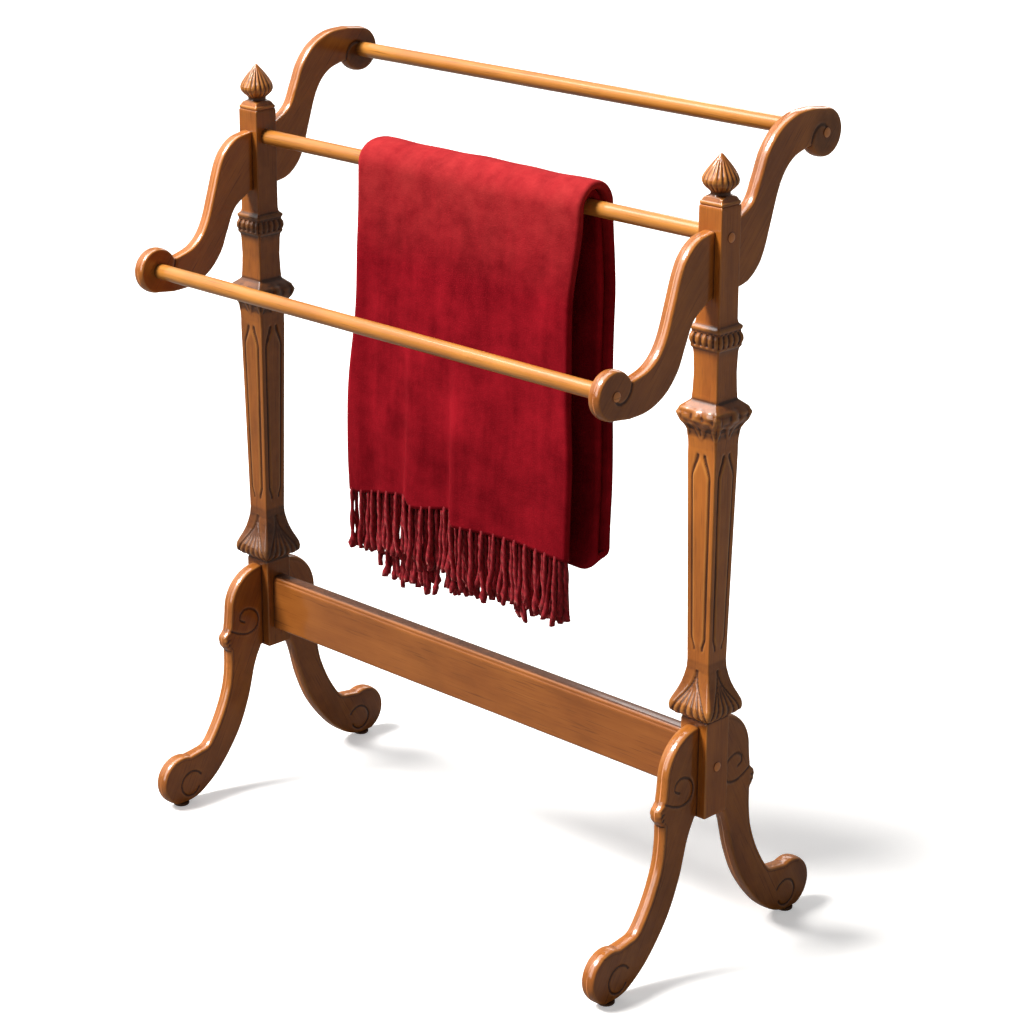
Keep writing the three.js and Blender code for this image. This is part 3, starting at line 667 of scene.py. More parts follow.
eye = (ARM_REACH, -ARM_DROP)
arm_low = np.vstack([
    [(-1, -37)],
    through([(2.875, -37)] + arm_points([
        (0.19, 0.5), (0.275, 0.73), (0.35, 0.95), (0.48, 1.14), (0.66, 1.25), (0.85, 1.27)])),
    arc(eye, VOLUTE, -90, ARM_TIP, 50),
])
notch = arc(eye, VOLUTE, NOTCH, NOTCH, 1)[0]
arm_high = np.vstack([
    [(-1, 33.5)],
    through([tuple(notch)] + arm_points([
        (0.76, 0.875), (0.65, 0.825), (0.555, 0.72), (0.482, 0.55), (0.412, 0.27), (0.345, 0.0),
        (0.275, -0.155), (0.165, -0.27)]) + [(2.875, 33.5)])[::-1],
    arc(eye, VOLUTE, NOTCH, ARM_TIP, 60),
])
arm_matches = [
    ((27, -53), (36, 19)), ((50, -101), (59, -29)), ((69, -121), (80, -77)),
    ((95, -133), (109, -93)), ((124, -135), tuple(notch)), ((143, -132.6), (133, -83)),
]
arm_scroll = spiral(eye, (26.5, 6.2), 154, 262, 60)


def arm_engraving(plan):
    return line_cut(plan, arm_scroll, 1.3, 1.5)


arm_loop, arm_height, arm_cut = crowned_board(
    arm_low, arm_high, arm_matches, ARM_THICK, 2.3, arm_engraving
)
print("arm grid", arm_height.shape)


# %% [markdown]
# The same board stands four times on the rack. Its plan is turned to face the front or the rear, and
# the pieces could be copies of one mesh; each gets its own grain instead, because wood never repeats.

# %% Place a board on the rack
def board_grid(loop, height, x, start, front, level, flip):
    """A board's plan becomes depth and height: depth = start + out, towards the front or the rear,
    and the height off its middle lies along x. A turned arm has its plan's height reversed."""
    side = -1 if front else 1
    return np.stack([
        x + height,
        side * (start + loop[..., 0]),
        level + (-loop[..., 1] if flip else loop[..., 1]),
    ], -1) * MM


def joint_soot(loop):
    """Glaze that stays in the corner where a board meets its post."""
    return 0.6 * hump(np.clip(loop[..., 0], 0, 99), 2.2)


def four_boards(name, node, loop, height, start, level, turned, fibre, first_seed, extra_darkness_pair):
    """Front and rear boards on both sides, with the fibres along a direction in degrees. Turned
    boards have the rear ones upside down; the extra darkness is given once for the front boards and
    once for the rear ones."""
    c, s = math.cos(math.radians(fibre)), math.sin(math.radians(fibre))
    out, up = loop[..., 0], loop[..., 1]
    grain = np.stack([c * out + s * up, c * up - s * out, height], -1) * MM
    for k, place in enumerate(("front", "rear")):
        for side, sign in BOTH_SIDES:
            rear = place == "rear"
            grid = board_grid(loop, height, sign * POST_X, start, not rear, level, rear and turned)
            outward = np.zeros(grid.shape)
            outward[..., 0] = np.sign(height)
            seed = first_seed + k + sign * 2
            attributes = wood_attributes(grid, outward, grain, seed, extra_darkness_pair[k], 0.5 * MM, 0.45)
            tail = place + "_" + side
            piece = rack_piece(name + tail, node + tail, grid, carved_wood, attributes)
    print(piece.name, len(piece.data.polygons), "faces")


# %% Place the arms
curl = smoothstep(36, 14, np.linalg.norm(arm_loop - np.array(eye), axis=-1))
arm_soot = 0.1 + joint_soot(arm_loop) + 0.25 * np.clip(arm_cut, 0, 1)
four_boards("sawn_arm_", "arm_", arm_loop, arm_height, POST_FACE + GAP, ARM_MIDDLE, True, -48, 8,
            (arm_soot + 0.1 * curl, arm_soot + 0.5 * curl))

# %% [markdown]
# ## Legs
# Each leg starts as tall as the foot block, rounds over a shoulder, nips in at a small carved knee,
# and sweeps out to a rolled foot. Both faces carry a curled scroll below the shoulder and an open
# ring on the foot, and a fine line follows the outer edge.

# %% Leg outline and engraving, in millimetres
LEG_REACH, BLOCK_LOW, LEG_TOP, FOOT_ROUND, LEG_THICK = 132.0, 173.0, 278.0, 31.0, 16.0
BLOCK_FACE, SHOULDER, SHOULDER_ROUND = 18.25, 228.0, 50.0
LEG_TIP, HEEL = 22, 111.6  # angles on the foot, in degrees
FOOT_MIDDLE = 3.6 + FOOT_ROUND * 0.95
FOOT_FLAT = math.sqrt(FOOT_ROUND**2 - (0.95 * FOOT_ROUND) ** 2)


def leg_points(pairs):
    return [(o * LEG_REACH, s * BLOCK_LOW) for o, s in pairs]


sole = FOOT_MIDDLE - 0.95 * FOOT_ROUND
ball = (LEG_REACH, FOOT_MIDDLE)
leg_inner = np.vstack([
    [(-1, BLOCK_LOW)],
    through([(2.64, BLOCK_LOW)] + leg_points([
        (0.1, 0.87), (0.19, 0.63), (0.33, 0.4), (0.56, 0.18), (0.78, 0.055)])
        + [(LEG_REACH - FOOT_FLAT, sole)]),
    np.linspace((LEG_REACH - FOOT_FLAT, sole), (LEG_REACH + FOOT_FLAT, sole), 14)[1:-1],
    arc(ball, FOOT_ROUND, -math.degrees(math.acos(FOOT_FLAT / FOOT_ROUND)), LEG_TIP, 44),
])
heel = arc(ball, FOOT_ROUND, HEEL, HEEL, 1)[0]
leg_outer = np.vstack([
    [(-1, LEG_TOP)],
    arc((0, SHOULDER), SHOULDER_ROUND, 90, 0, 30),
    through([(SHOULDER_ROUND, SHOULDER), (53, 206), (60, 197), (59, 186), (53, 178)])[1:],
    through([(53, 178)] + leg_points([
        (0.405, 0.9), (0.435, 0.76), (0.51, 0.61), (0.61, 0.475), (0.7, 0.39), (0.8, 0.37)])
        + [tuple(heel)])[1:],
    arc(ball, FOOT_ROUND, HEEL, LEG_TIP, 34)[1:],
])
leg_matches = [
    ((2.64, 173), (36, 262)), ((6, 167), (50, 226)), ((12, 153), (60, 197)), ((16, 139), (53, 176)),
    ((25, 109), (57, 131)), ((43.6, 69), (67, 105)), ((74, 31), (84, 76)), ((103, 9.5), (106, 64)),
    ((122, 3.6), tuple(heel)),
]
foot_ring = spiral((121.5, 25), (17.6, 13.0), 146, -150, 60)
shoulder_scroll = through([
    (53, 205), (46, 201.5), (38, 197.5), (25, 194.5), (13, 197.5), (7.5, 206), (9, 216.5),
    (17, 224), (27.5, 226.5), (35, 222), (36, 214.5), (30, 210.5)], 8)
edge_line = leg_outer[(leg_outer[:, 1] > 62) | (leg_outer[:, 0] < 40)]


def leg_engraving(plan):
    lines = line_cut(plan, foot_ring, 0.9, 1.5) + line_cut(plan, shoulder_scroll, 0.95, 1.5)
    rail = 0.3 * hump(distance(plan, edge_line) - 4.6, 0.9)
    knee = distance(plan, np.array([(60.0, 206.0), (60.0, 178.0)]))
    fan = 0.9 * (0.5 + 0.5 * np.cos(plan[..., 1] * 2 * np.pi / 6.5 + plan[..., 0] * 0.5))
    return lines + rail + fan * smoothstep(10, 4, knee)


leg_loop, leg_height, leg_cut = crowned_board(
    leg_inner, leg_outer, leg_matches, LEG_THICK, 2.5, leg_engraving
)
swell = 1 + 0.10 * smoothstep(42, 20, np.linalg.norm(leg_loop - np.array(ball), axis=-1))
leg_height = leg_height * swell
knee_notch = smoothstep(9, 3, distance(leg_loop, np.array([(62.0, 203.0), (62.0, 182.0)])))
leg_height *= 1 + 0.05 * knee_notch * np.cos(leg_loop[..., 1] * 2 * np.pi / 6.0)
print("leg grid", leg_height.shape)

# %% Place the legs
leg_soot = 0.26 + joint_soot(leg_loop) + 0.15 * np.clip(leg_cut, 0, 1)
four_boards("scrolled_leg_", "leg_", leg_loop, leg_height, BLOCK_FACE + GAP, 0, False, -62, 15,
            (leg_soot, leg_soot))

# %% [markdown]
# ## Rails and buttons
# These are turned on a lathe: a profile of radius against distance, swept round an axis. A rail
# is a plain rod that dives into its two sockets. A domed button covers each screw, a little proud
# of the wood. The nylon glide nailed under each foot keeps its modelled node.

# %% Turned pieces
def turned_grid(axis_points, radii, direction, sides=48):
    """Rings round an axis: centre + r (cos a, sin a) in the plane square to the direction."""
    direction = np.array(direction, float)
    helper = np.array((0, 0, 1.0)) if abs(direction[2]) < 0.5 else np.array((0, 1.0, 0))
    first = np.cross(direction, helper)
    first /= np.linalg.norm(first)
    second = np.cross(direction, first)
    a = np.linspace(0, 2 * np.pi, sides, endpoint=False)[None, :, None]
    ring = np.cos(a) * first + np.sin(a) * second
    grid = axis_points[:, None, :] + np.array(radii)[:, None, None] * ring
    return grid, ring + 0 * axis_points[:, None, :]


RAIL_RADIUS = 8.75
rails = {  # depth, height and half length, in millimetres
    "rail_front": (-159.0, 670.9, 340.6), "rail_middle": (0.0, 803.0, 333.4),
    "rail_rear": (159.0, 884.1, 340.6),
}
for seed, (name, (y, height, reach)) in enumerate(rails.items()):
    x = np.concatenate([[-reach], np.linspace(-reach + 1, reach - 1, 200), [reach]])
    axis_points = np.stack([x, np.full(x.size, y), np.full(x.size, height)], -1) * MM
    wobble = 0.05 * np.sin(x / 61 + seed) + 0.04 * np.sin(x / 23 + 2 * seed)
    grid, outward = turned_grid(axis_points, (RAIL_RADIUS + wobble) * MM, (1, 0, 0))
    extra_darkness = 0.75 * hump((reach - 3.2 - np.abs(x)).clip(0, 99), 1.8)[:, None]
    attributes = wood_attributes(grid, outward, grid, 21 + seed, extra_darkness, 5 * MM)
    rail = rack_piece("turned_" + name, name, grid, rail_wood, attributes)
    print(rail.name, [round(c, 4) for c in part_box(name)[0]])

# %% Buttons over the screws
BUTTON_RADIUS, PROUD = 5.5, 1.6
dome = np.array([  # distance outwards and radius, in millimetres
    (-3.0, 5.4), (0.0, BUTTON_RADIUS), (0.7, 5.45), (1.2, 5.1), (1.6, 4.2), (1.85, 2.8), (1.95, 1.3)])
button_names = [n for n in sorted(nodes) if n.startswith("plug_")]
for seed, name in enumerate(button_names):
    low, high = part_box(name)
    sign = 1 if low.x > 0 else -1
    outer = max(abs(low.x), abs(high.x)) - PROUD * MM
    centre = (low + high) / 2
    axis_points = np.stack([
        sign * (outer + dome[:, 0] * 0.82 * MM), np.full(len(dome), centre.y), np.full(len(dome), centre.z),
    ], -1)
    grid, outward = turned_grid(axis_points, dome[:, 1] * MM, (1, 0, 0), 28)
    extra_darkness = 0.8 * hump(dome[:, 1] - BUTTON_RADIUS, 0.25)[:, None]
    attributes = wood_attributes(grid, outward, grid[..., [1, 0, 2]], 25 + seed, extra_darkness, 5 * MM)
    rack_piece("domed_" + name, name, grid, button_wood, attributes)
print(len(button_names), "buttons")

# %% [markdown]
# ## The stretcher
# One moulded board joins the two foot blocks. Its section is drawn once: flat faces, a soft lower
# arris, and a top whose front and rear corners are worked to a small round with a quirk below it.
# The section is carried along the board, with a slight wander so that no edge is dead straight.

# %% Stretcher
half_t, half_h, round_r = 10.0, 33.5, 4.2
MIDDLE_HEIGHT, END = 229, 328.1
a = np.radians(np.linspace(0, 90, 12))
corner = np.stack([half_t - 0.9 - round_r + round_r * np.cos(a), half_h - round_r + round_r * np.sin(a)], -1)
quirk = np.array([(half_t, half_h - 6.4), (half_t - 0.5, half_h - 5.7), (half_t - 0.9, half_h - 5.0)])
foot_edge = np.array([(half_t - 1.6, -half_h), (half_t - 0.5, -half_h + 0.4), (half_t, -half_h + 1.6)])
face = np.stack([np.full(14, half_t), np.linspace(-half_h + 4, half_h - 9, 14)], -1)
one_side = np.vstack([foot_edge, face, quirk, corner])
outline = np.vstack([one_side, one_side[::-1] * [-1, 1]])
x = np.concatenate([[-END], np.linspace(-327, 327, 120), [END]])
drift = 0.12 * np.sin(x / 90) + 0.08 * np.sin(x / 37 + 1)
section = np.broadcast_to(outline, (x.size,) + outline.shape) + drift[:, None, None] * [0.6, 0.5]
depth, height = section[..., 0], MIDDLE_HEIGHT + section[..., 1]
grid = np.stack([x[:, None] + 0 * depth, depth, height], -1) * MM
outward = np.stack([0 * depth, depth, section[..., 1] * 0.3], -1)
# The flat top face is darkened along the whole board.
top_darkened = 0.80 * smoothstep(half_h - 1.4, half_h - 0.2, outline[:, 1])
extra_darkness = top_darkened[None, :] + 0.5 * hump(328 - np.abs(x), 3)[:, None]
attributes = wood_attributes(grid, outward, grid, 34, extra_darkness, 1.2 * MM)
rack_piece("moulded_stretcher", "stretcher", grid, board_wood, attributes)

# %% [markdown]
# ## Hidden hardware
# Dowels, screws, bolts and barrel nuts sit inside the wood. Their modelled nodes are right as they
# are, so they only get finishes: bare pale dowels and zinc-bright steel; the glides are nylon.

# %% Finishes for dowels, steel and nylon
def speckled(name, constants, scale, stretch, first, second, roughness, bump):
    """A finish where one noise feeds the colour, the roughness and a faint bump; roughness holds its
    change and its base, bump its strength and its height in metres."""
    material, w, connect = new_material(name, constants)
    speckle = w.noise(w.place(), *scale, 0.6, stretch=stretch)
    connect(
        Base_Color=w.blend(speckle, first, second),
        Roughness=speckle * roughness[0] + roughness[1],
        Normal=w.bump(speckle, *bump),
    )
    return material


bare_wood = speckled(
    "bare dowel wood", {"Specular IOR Level": 0.35}, (220, 3), (1, 0.15, 1),
    rgba(0.62, 0.42, 0.22), rgba(0.42, 0.25, 0.11), (0.2, 0.6), (0.3, 0.0003))
steel = speckled(
    "zinc-plated steel", {"Metallic": 1.0}, (320, 4), (1, 1, 1),
    rgba(0.62, 0.62, 0.60), rgba(0.42, 0.42, 0.41), (0.25, 0.28), (0.2, 0.0002))
nylon = speckled(
    "brown nylon", {"Specular IOR Level": 0.4}, (260, 3), (1, 1, 1),
    rgba(0.10, 0.045, 0.022), rgba(0.17, 0.085, 0.045), (0.3, 0.4), (0.3, 0.0003))
finishes = {"arm_dowel": bare_wood, "leg_dowel": bare_wood, "stretcher_dowel": bare_wood,
            "rail_screw": steel, "stretcher_bolt": steel, "barrel_nut": steel, "glide": nylon}
for name, node in nodes.items():
    for start, material in finishes.items():
        if name.startswith(start):
            for material_slot in node.material_slots:
                material_slot.material = material
print("finishes on", sum(n.startswith(tuple(finishes)) for n in nodes), "nodes")

# %% [markdown]
# ## The throw: how it is folded
# The throw is one sheet, about 1.38 by 1.72 m. It was folded in half across its width, and in half
# again, which makes a ribbon of four layers with two folds on the right and one fold and both
# selvedges on the left. That ribbon was folded in half along its length and hung over the middle
# rail with its fold at the back, so both fringed ends hang in front. A cloth simulation cannot
# find such folds by itself, so the sheet is carried along its real path: a cross-section curve
# through the four layers, swept down the front, over the rail, round the bottom and back again.

# %% Across the sheet: four layers, in millimetres
PITCH, PASS_OUT, PASS_IN, RAIL_Z = 2.5, 24.35, 14.35, 803.0
WIDE = 174.0
STEPS = (88, 8, 15, 5, 15, 5, 15)  # columns of the four layers and, between them, of the three turns


def turn_points(x, layer, radius, start, end, steps):
    """A half circle between two layers, at its own places along x and across the layers."""
    a = np.radians(np.linspace(start, end, steps + 2)[1:-1])
    return np.stack([x + radius * np.cos(a), layer + radius * np.sin(a)], -1)


def straight(x_from, x_to, layer, steps):
    return np.stack([np.linspace(x_from, x_to, steps), np.full(steps, layer)], -1)


across_sheet = np.vstack([
    straight(-WIDE, WIDE - 3.75, 1.5 * PITCH, STEPS[0]),
    turn_points(WIDE - 3.75, 0, 1.5 * PITCH, 90, -90, STEPS[1]),
    straight(WIDE - 3.75, -WIDE + 2.2, -1.5 * PITCH, STEPS[2]),
    turn_points(-WIDE + 2.2, -PITCH, 0.5 * PITCH, -90, -270, STEPS[3]),
    straight(-WIDE + 2.2, WIDE - 8.0, -0.5 * PITCH, STEPS[4]),
    turn_points(WIDE - 8.0, 0, 0.5 * PITCH, -90, 90, STEPS[5]),
    straight(WIDE - 8.0, -WIDE + 3.5, 0.5 * PITCH, STEPS[6]),
])
u_run = run_length(across_sheet)
panel = across_sheet[:, 0]
layer = across_sheet[:, 1]
print("sheet width", round(u_run[-1]), "mm in", len(u_run), "columns")


# %% Along the sheet: the path of the middle of the ribbon, in depth and height
BACK_LOW, HEM_OUT, HEM_IN = 402.0, 416.0, 408.0
FRONT_ROWS, TOP_ROWS, BACK_ROWS, TURN_ROWS = 96, 20, 74, 9


def drop(y, z_from, z_to, facing, steps):
    z = np.linspace(z_from, z_to, steps, endpoint=False)
    return np.stack([np.full(steps, y), z, np.full(steps, facing), 0 * z], -1)


def bend(y, z, radius, start, end, sign, steps):
    """An arc of the path, with its outward direction; sign is -1 where the ribbon lies inside."""
    a = np.radians(np.linspace(start, end, steps, endpoint=False))
    c, s = np.cos(a), np.sin(a)
    return np.stack([y + radius * c, z + radius * s, sign * c, sign * s], -1)


path = np.vstack([
    drop(-PASS_OUT, HEM_OUT, RAIL_Z, -1, FRONT_ROWS),
    bend(0, RAIL_Z, PASS_OUT, 180, 0, 1, TOP_ROWS),
    drop(PASS_OUT, RAIL_Z, BACK_LOW, 1, BACK_ROWS),
    bend((PASS_OUT + PASS_IN) / 2, BACK_LOW, (PASS_OUT - PASS_IN) / 2, 0, -180, 1, TURN_ROWS),
    drop(PASS_IN, BACK_LOW, RAIL_Z, -1, 26),
    bend(0, RAIL_Z, PASS_IN, 0, 180, -1, 12),
    drop(-PASS_IN, RAIL_Z, HEM_IN, 1, 30),
    [[-PASS_IN, HEM_IN, 1, 0]],
])
v_run = run_length(path[:, :2])
print("sheet length", round(v_run[-1]), "mm in", len(v_run), "rows")

# %% [markdown]
# ## How the throw hangs
# The front drop hangs in three shallow lobes. Between them the cloth steps forward in a soft pleat
# that sharpens towards the hem, and the hem itself rises and falls with the lobes. All layers move
# together, because they lie on each other. Each pleat is a steep rise followed by a slow return.

# %% Pleats, hem and edges
def pleat(x, at, rise, fall):
    """Rises from 0 to 1 over one short width, then sinks back to 0 over a longer one."""
    return smoothstep(at - rise, at + rise * 0.3, x) * smoothstep(at + fall, at, x)


def hem_rise(x):
    """The lobes' lower edge: each climbs to the right and steps down to the next, in mm."""
    left = window(x, -400, -68, 5) * 15 * smoothstep(-172, -75, x)
    middle = window(x, -63, -2, 5) * (8 + 9 * smoothstep(-63, -2, x))
    right = window(x, 3, 400, 5) * (1.5 + 2.5 * np.sin((x - 20) / 38))
    return left + middle + right


def front_folds(x, hang):
    """Forward displacement of the front drop in mm; hang is 0 at the rail and 1 at the hem."""
    deep = smoothstep(0.25, 1.0, hang)
    lean = 10 * (1 - hang)
    pleats = 6.5 * pleat(x, -71 + lean, 10, 62) + 8.5 * pleat(x, 2 + 0.5 * lean, 10, 120)
    soft = 1.7 * np.sin(x / 31 + 2.2 * hang + 0.6) + 1.1 * np.sin(x / 17 - 3.0 * hang)
    small = 0.55 * np.sin(x / 9.5 + 4.5 * hang) * np.sin(7.3 * hang + x / 40)
    sag = 0.8 * np.sin(x / 23 + 5 * hang) * np.sin(hang * 16 + x / 60)
    corner = -3.5 * smoothstep(-150, -176, x) - 2.0 * smoothstep(146, 172, x)
    valley = -4.5 * hump(x + 140 - 6 * hang, 17) * smoothstep(0.2, 0.55, hang)
    return valley + (pleats + soft + corner) * deep + (small + sag) * smoothstep(0.02, 0.25, hang)


def back_folds(x, hang):
    """The back drop is held straight by its fold, so it only waves a little."""
    return (1.8 * np.sin(x / 44 + 0.4) + 1.0 * np.sin(x / 21 + 2 * hang)) * smoothstep(0.1, 0.8, hang)


def edge_places(y, z):
    """The ribbon's left and right edges in mm. In front it widens to the left as it hangs and draws
    in on the right just below the rail; over the rail its left edge slants back to a narrower rear."""
    low, soon = smoothstep(RAIL_Z, 430, z), smoothstep(RAIL_Z, 695, z)
    behind = np.where(z > RAIL_Z - 1, smoothstep(-24, 24, y), y > 0)
    left = (1 - behind) * (-145 - 30 * low) + behind * (-124 - 26 * low)
    right = (1 - behind) * (181.7 - 11.7 * soon) + behind * (180 + 7 * soon + low)
    return left, right


y0, z0, ny, nz = path.T
rows = len(path)
outer_rows = np.arange(rows) < FRONT_ROWS + TOP_ROWS + BACK_ROWS + (TURN_ROWS + 1) // 2
front_rows = y0 < 0
left, right = edge_places(y0, z0)
left, right = left + np.where(outer_rows, 0, 4), right - np.where(outer_rows, 0, 8)
X = left[:, None] + (right - left)[:, None] * (panel[None, :] + WIDE) / (2 * WIDE)
hang = np.clip((RAIL_Z - z0) / (RAIL_Z - HEM_OUT), 0, 1)[:, None]
Y = y0[:, None] + ny[:, None] * layer[None, :]
Z = z0[:, None] + nz[:, None] * layer[None, :]
print("throw grid", X.shape)

# %% Hang the sheet
Y = Y + np.where(front_rows[:, None], -front_folds(X, hang), back_folds(X, hang))
lift = hem_rise(X) * smoothstep(0.62, 1.0, hang) ** 1.5
inner_lift = 10 - 26 * smoothstep(-136, -122, X) + 10 * smoothstep(-75, -60, X) + 9 * smoothstep(-5, 40, X)
lift = np.where(outer_rows[:, None], lift, inner_lift * smoothstep(0.7, 1, hang))
rounded = 22 * smoothstep(150, 190, X) ** 1.5 * smoothstep(0.72, 1, hang)
Z = Z + np.where(front_rows[:, None], lift, rounded)
crest = 0.9 * np.sin(X / 27 + 0.5) + 0.6 * np.sin(X / 11)
Z = Z + np.where(nz[:, None] > 0.2, crest * nz[:, None] * 0.6, 0)
edge_wave = 1.6 * np.sin(hang * 9 + 1) * np.abs(panel[None, :] / WIDE) ** 6
X = X + edge_wave * np.sign(panel)[None, :]
sheet_grid = np.stack([X, Y, Z], -1) * MM
weave = np.stack([
    np.broadcast_to(u_run, X.shape), np.broadcast_to(v_run[:, None], X.shape), 0 * X], -1) * MM
print("throw box", sheet_grid.reshape(-1, 3).min(0).round(4), sheet_grid.reshape(-1, 3).max(0).round(4))

# %% [markdown]
# ## Crimson brushed cloth
# The pile was brushed, so its tone changes wherever the nap leans another way: soft clouds, short
# strokes across and down, and a fine tooth. The clouds feed the base colour, the tooth feeds a
# faint bump, and the sheen of the raised fibres is set once on the shader. A painted highlight
# lightens the cloth where it lies over the top of the rail.

# %% Cloth material
crimson, w, connect = new_material("crimson brushed cloth", {
    "Sheen Weight": 0.10, "Sheen Roughness": 0.35, "Sheen Tint": rgba(1.0, 0.14, 0.13),
    "Specular IOR Level": 0.03,
})
weave_at = w.attribute("weave", out=VECTOR)
clouds = w.noise(weave_at, 12, 3, 0.5)
strokes = w.noise(weave_at, 38, 5, 0.66, stretch=(0.8, 1.0, 1))
brushed = ((strokes - 0.5) * 3.2 + 0.5).clamped()
down = w.noise(weave_at, 48, 3, 0.6, stretch=(1.2, 0.25, 1))
tooth = w.noise(weave_at, 620, 2, 0.6)
nap = ((clouds - 0.5) * 1.4 + (brushed - 0.5) * 0.42 + (down - 0.5) * 1.1 + 0.46).clamped()
TOP_OF_RAIL = 0.410  # metres of cloth from the front hem
# Painted highlight: round the top of the rail the colour is drawn towards a lighter pinkish crimson, broken
# up by the brushed strokes.
rail_top_highlight = (1.15 - w.math("ABSOLUTE", w.part(weave_at, 1) - TOP_OF_RAIL) * 9.0).clamped()
shade = w.blend(nap, rgba(0.150, 0.0018, 0.0062), rgba(0.335, 0.0075, 0.0165))
shade = w.blend(rail_top_highlight * (brushed * 0.5 + 0.35) * 0.85, shade, rgba(0.46, 0.038, 0.038))
shade = w.blend((tooth - 0.5).clamped() * 0.7, shade, rgba(0.50, 0.03, 0.04))
connect(
    Base_Color=shade,
    Roughness=(0.78 + (nap - 0.5) * 0.12).clamped(),
    Normal=w.bump(tooth * 0.7 + strokes * 0.8 + nap * 0.6, 0.5, 0.0008),
)
print(crimson.name, "from", len(w.tree.nodes), "nodes")

# %% Throw
sheet_faces = grid_faces(rows, len(u_run), around=False)
throw = make_piece(
    "folded_throw", sheet_grid.reshape(-1, 3), [sheet_faces], crimson, "throw",
    {"weave": weave.reshape(-1, 3)},
)
thick = throw.modifiers.new("cloth thickness", "SOLIDIFY")
thick.thickness, thick.offset = 1.6 * MM, 0
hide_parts("throw")
print("throw", len(throw.data.polygons), "faces before thickness")

# %% [markdown]
# ## The fringe
# At both cut ends the warp is left long and twisted into cords. Each cord is a tube of few faces
# that hangs from the hem of one layer: its centre line drops and sways, and its outline has two
# lobes that turn as it goes, like two strands laid together. All cords are one array.

# %% Fringe cords
CORDS, RINGS, SIDES, CORD_PITCH = 22, 12, 6, 15.6
draw = np.random.default_rng(11)
firsts = np.cumsum((0,) + STEPS)
columns_of = [np.arange(firsts[k], firsts[k + 1]) for k in (0, 2, 4, 6)]
starts = []
for row, inner in ((0, False), (rows - 1, True)):
    for number, columns in enumerate(columns_of):
        hem = sheet_grid[row, columns]
        hem = hem[np.argsort(hem[:, 0])]
        phase = 0.5 * ((number + inner) % 2)
        at = hem[0, 0] + (np.arange(CORDS) + 0.25 + phase) * CORD_PITCH * MM
        at = np.clip(at + draw.normal(0, 1.3, CORDS) * MM, hem[0, 0] + 2 * MM, hem[-1, 0] - 2 * MM)
        starts.append(np.stack([at] + [np.interp(at, hem[:, 0], hem[:, k]) for k in (1, 2)], -1))
starts = np.concatenate(starts)
count = len(starts)
long = draw.normal(71, 4.5, count).clip(60, 82) * MM
t = np.linspace(0, 1, RINGS)[None, :]
bundle = np.round(starts[:, 0] / (2 * CORD_PITCH * MM))
lean_x = (draw.normal(0, 2.6, count) + 3.6 * np.sin(bundle * 2.4))[:, None] * MM
lean_y = draw.normal(0, 2.6, count)[:, None] * MM
wave = draw.uniform(0, 6.28, count)[:, None]
middle_x = starts[:, :1] + lean_x * t**1.6 + 1.8 * MM * np.sin(9 * t + wave) * t**2
middle_y = starts[:, 1:2] + lean_y * t**1.3 + 1.2 * MM * np.sin(4 * t + 2 * wave) * t
middle_z = starts[:, 2:3] + 3 * MM - (long[:, None] + 3 * MM) * t
swell = np.interp(t[0], [0, 0.06, 0.25, 0.75, 0.92, 1], [1.7, 2.3, 2.5, 2.8, 3.8, 2.8])[None, :]
around = np.linspace(0, 2 * np.pi, SIDES, endpoint=False)[None, None, :]
twist = (wave + 15 * t)[..., None]
ragged = 1 + draw.normal(0, 0.28, (count, RINGS, SIDES)) * smoothstep(0.6, 1, t)[..., None]
reach = swell[..., None] * MM * (1 + 0.2 * np.cos(2 * around - twist)) * ragged
ring = np.stack([
    middle_x[..., None] + reach * np.cos(around),
    middle_y[..., None] + reach * np.sin(around),
    middle_z[..., None] + 0 * reach,
], -1)
print(count, "cords of", RINGS * SIDES, "points")

# %% Fringe yarn material and mesh
yarn, w, connect = new_material("crimson yarn", {
    "Sheen Weight": 0.3, "Sheen Roughness": 0.4, "Sheen Tint": rgba(1.0, 0.32, 0.28),
    "Specular IOR Level": 0.25,
})
cos_a, sin_a, down = (w.part(w.attribute("lay", out=VECTOR), k) for k in range(3))
angle = down * 620
stripe = (cos_a * cos_a * 2 - 1) * w.math("COSINE", angle) + cos_a * sin_a * 2 * w.math("SINE", angle)
fuzz = w.noise(w.place(), 700, 3, 0.6)
tone = (stripe * 0.3 + (fuzz - 0.5) * 0.9 + 0.5).clamped()
connect(
    Base_Color=w.blend(tone, rgba(0.135, 0.0035, 0.008), rgba(0.38, 0.014, 0.024)),
    Roughness=fuzz * 0.15 + 0.72,
    Normal=w.bump(stripe * 0.5 + fuzz * 0.5, 0.8, 0.0009),
)
one = grid_faces(RINGS, SIDES)
step = RINGS * SIDES + 2
offsets = (np.arange(count) * step)[:, None, None]
quads = (one[None] + offsets).reshape(-1, 4)
fans = np.concatenate([
    end_fan(0, SIDES, RINGS * SIDES)[:, ::-1], end_fan((RINGS - 1) * SIDES, SIDES, RINGS * SIDES + 1),
])
fans = (fans[None] + offsets).reshape(-1, 3)
poles = np.stack([ring[:, 0].mean(1) + [0, 0, 0.5 * MM], ring[:, -1].mean(1) - [0, 0, 0.8 * MM]], 1)
cord_points = np.concatenate([ring.reshape(count, -1, 3), poles], 1).reshape(-1, 3)
lay_grid = np.stack([
    np.cos(around) + 0 * reach, np.sin(around) + 0 * reach, (long[:, None] * t)[..., None] + 0 * reach], -1)
lay_poles = np.stack([lay_grid[:, 0].mean(1), lay_grid[:, -1].mean(1)], 1)
lay_all = np.concatenate([lay_grid.reshape(count, -1, 3), lay_poles], 1).reshape(-1, 3)
fringe = make_piece(
    "twisted_fringe", cord_points, [quads, fans], yarn, "throw", {"lay": lay_all}
)
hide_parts("throw_fringe")
print("fringe", len(fringe.data.polygons), "faces")
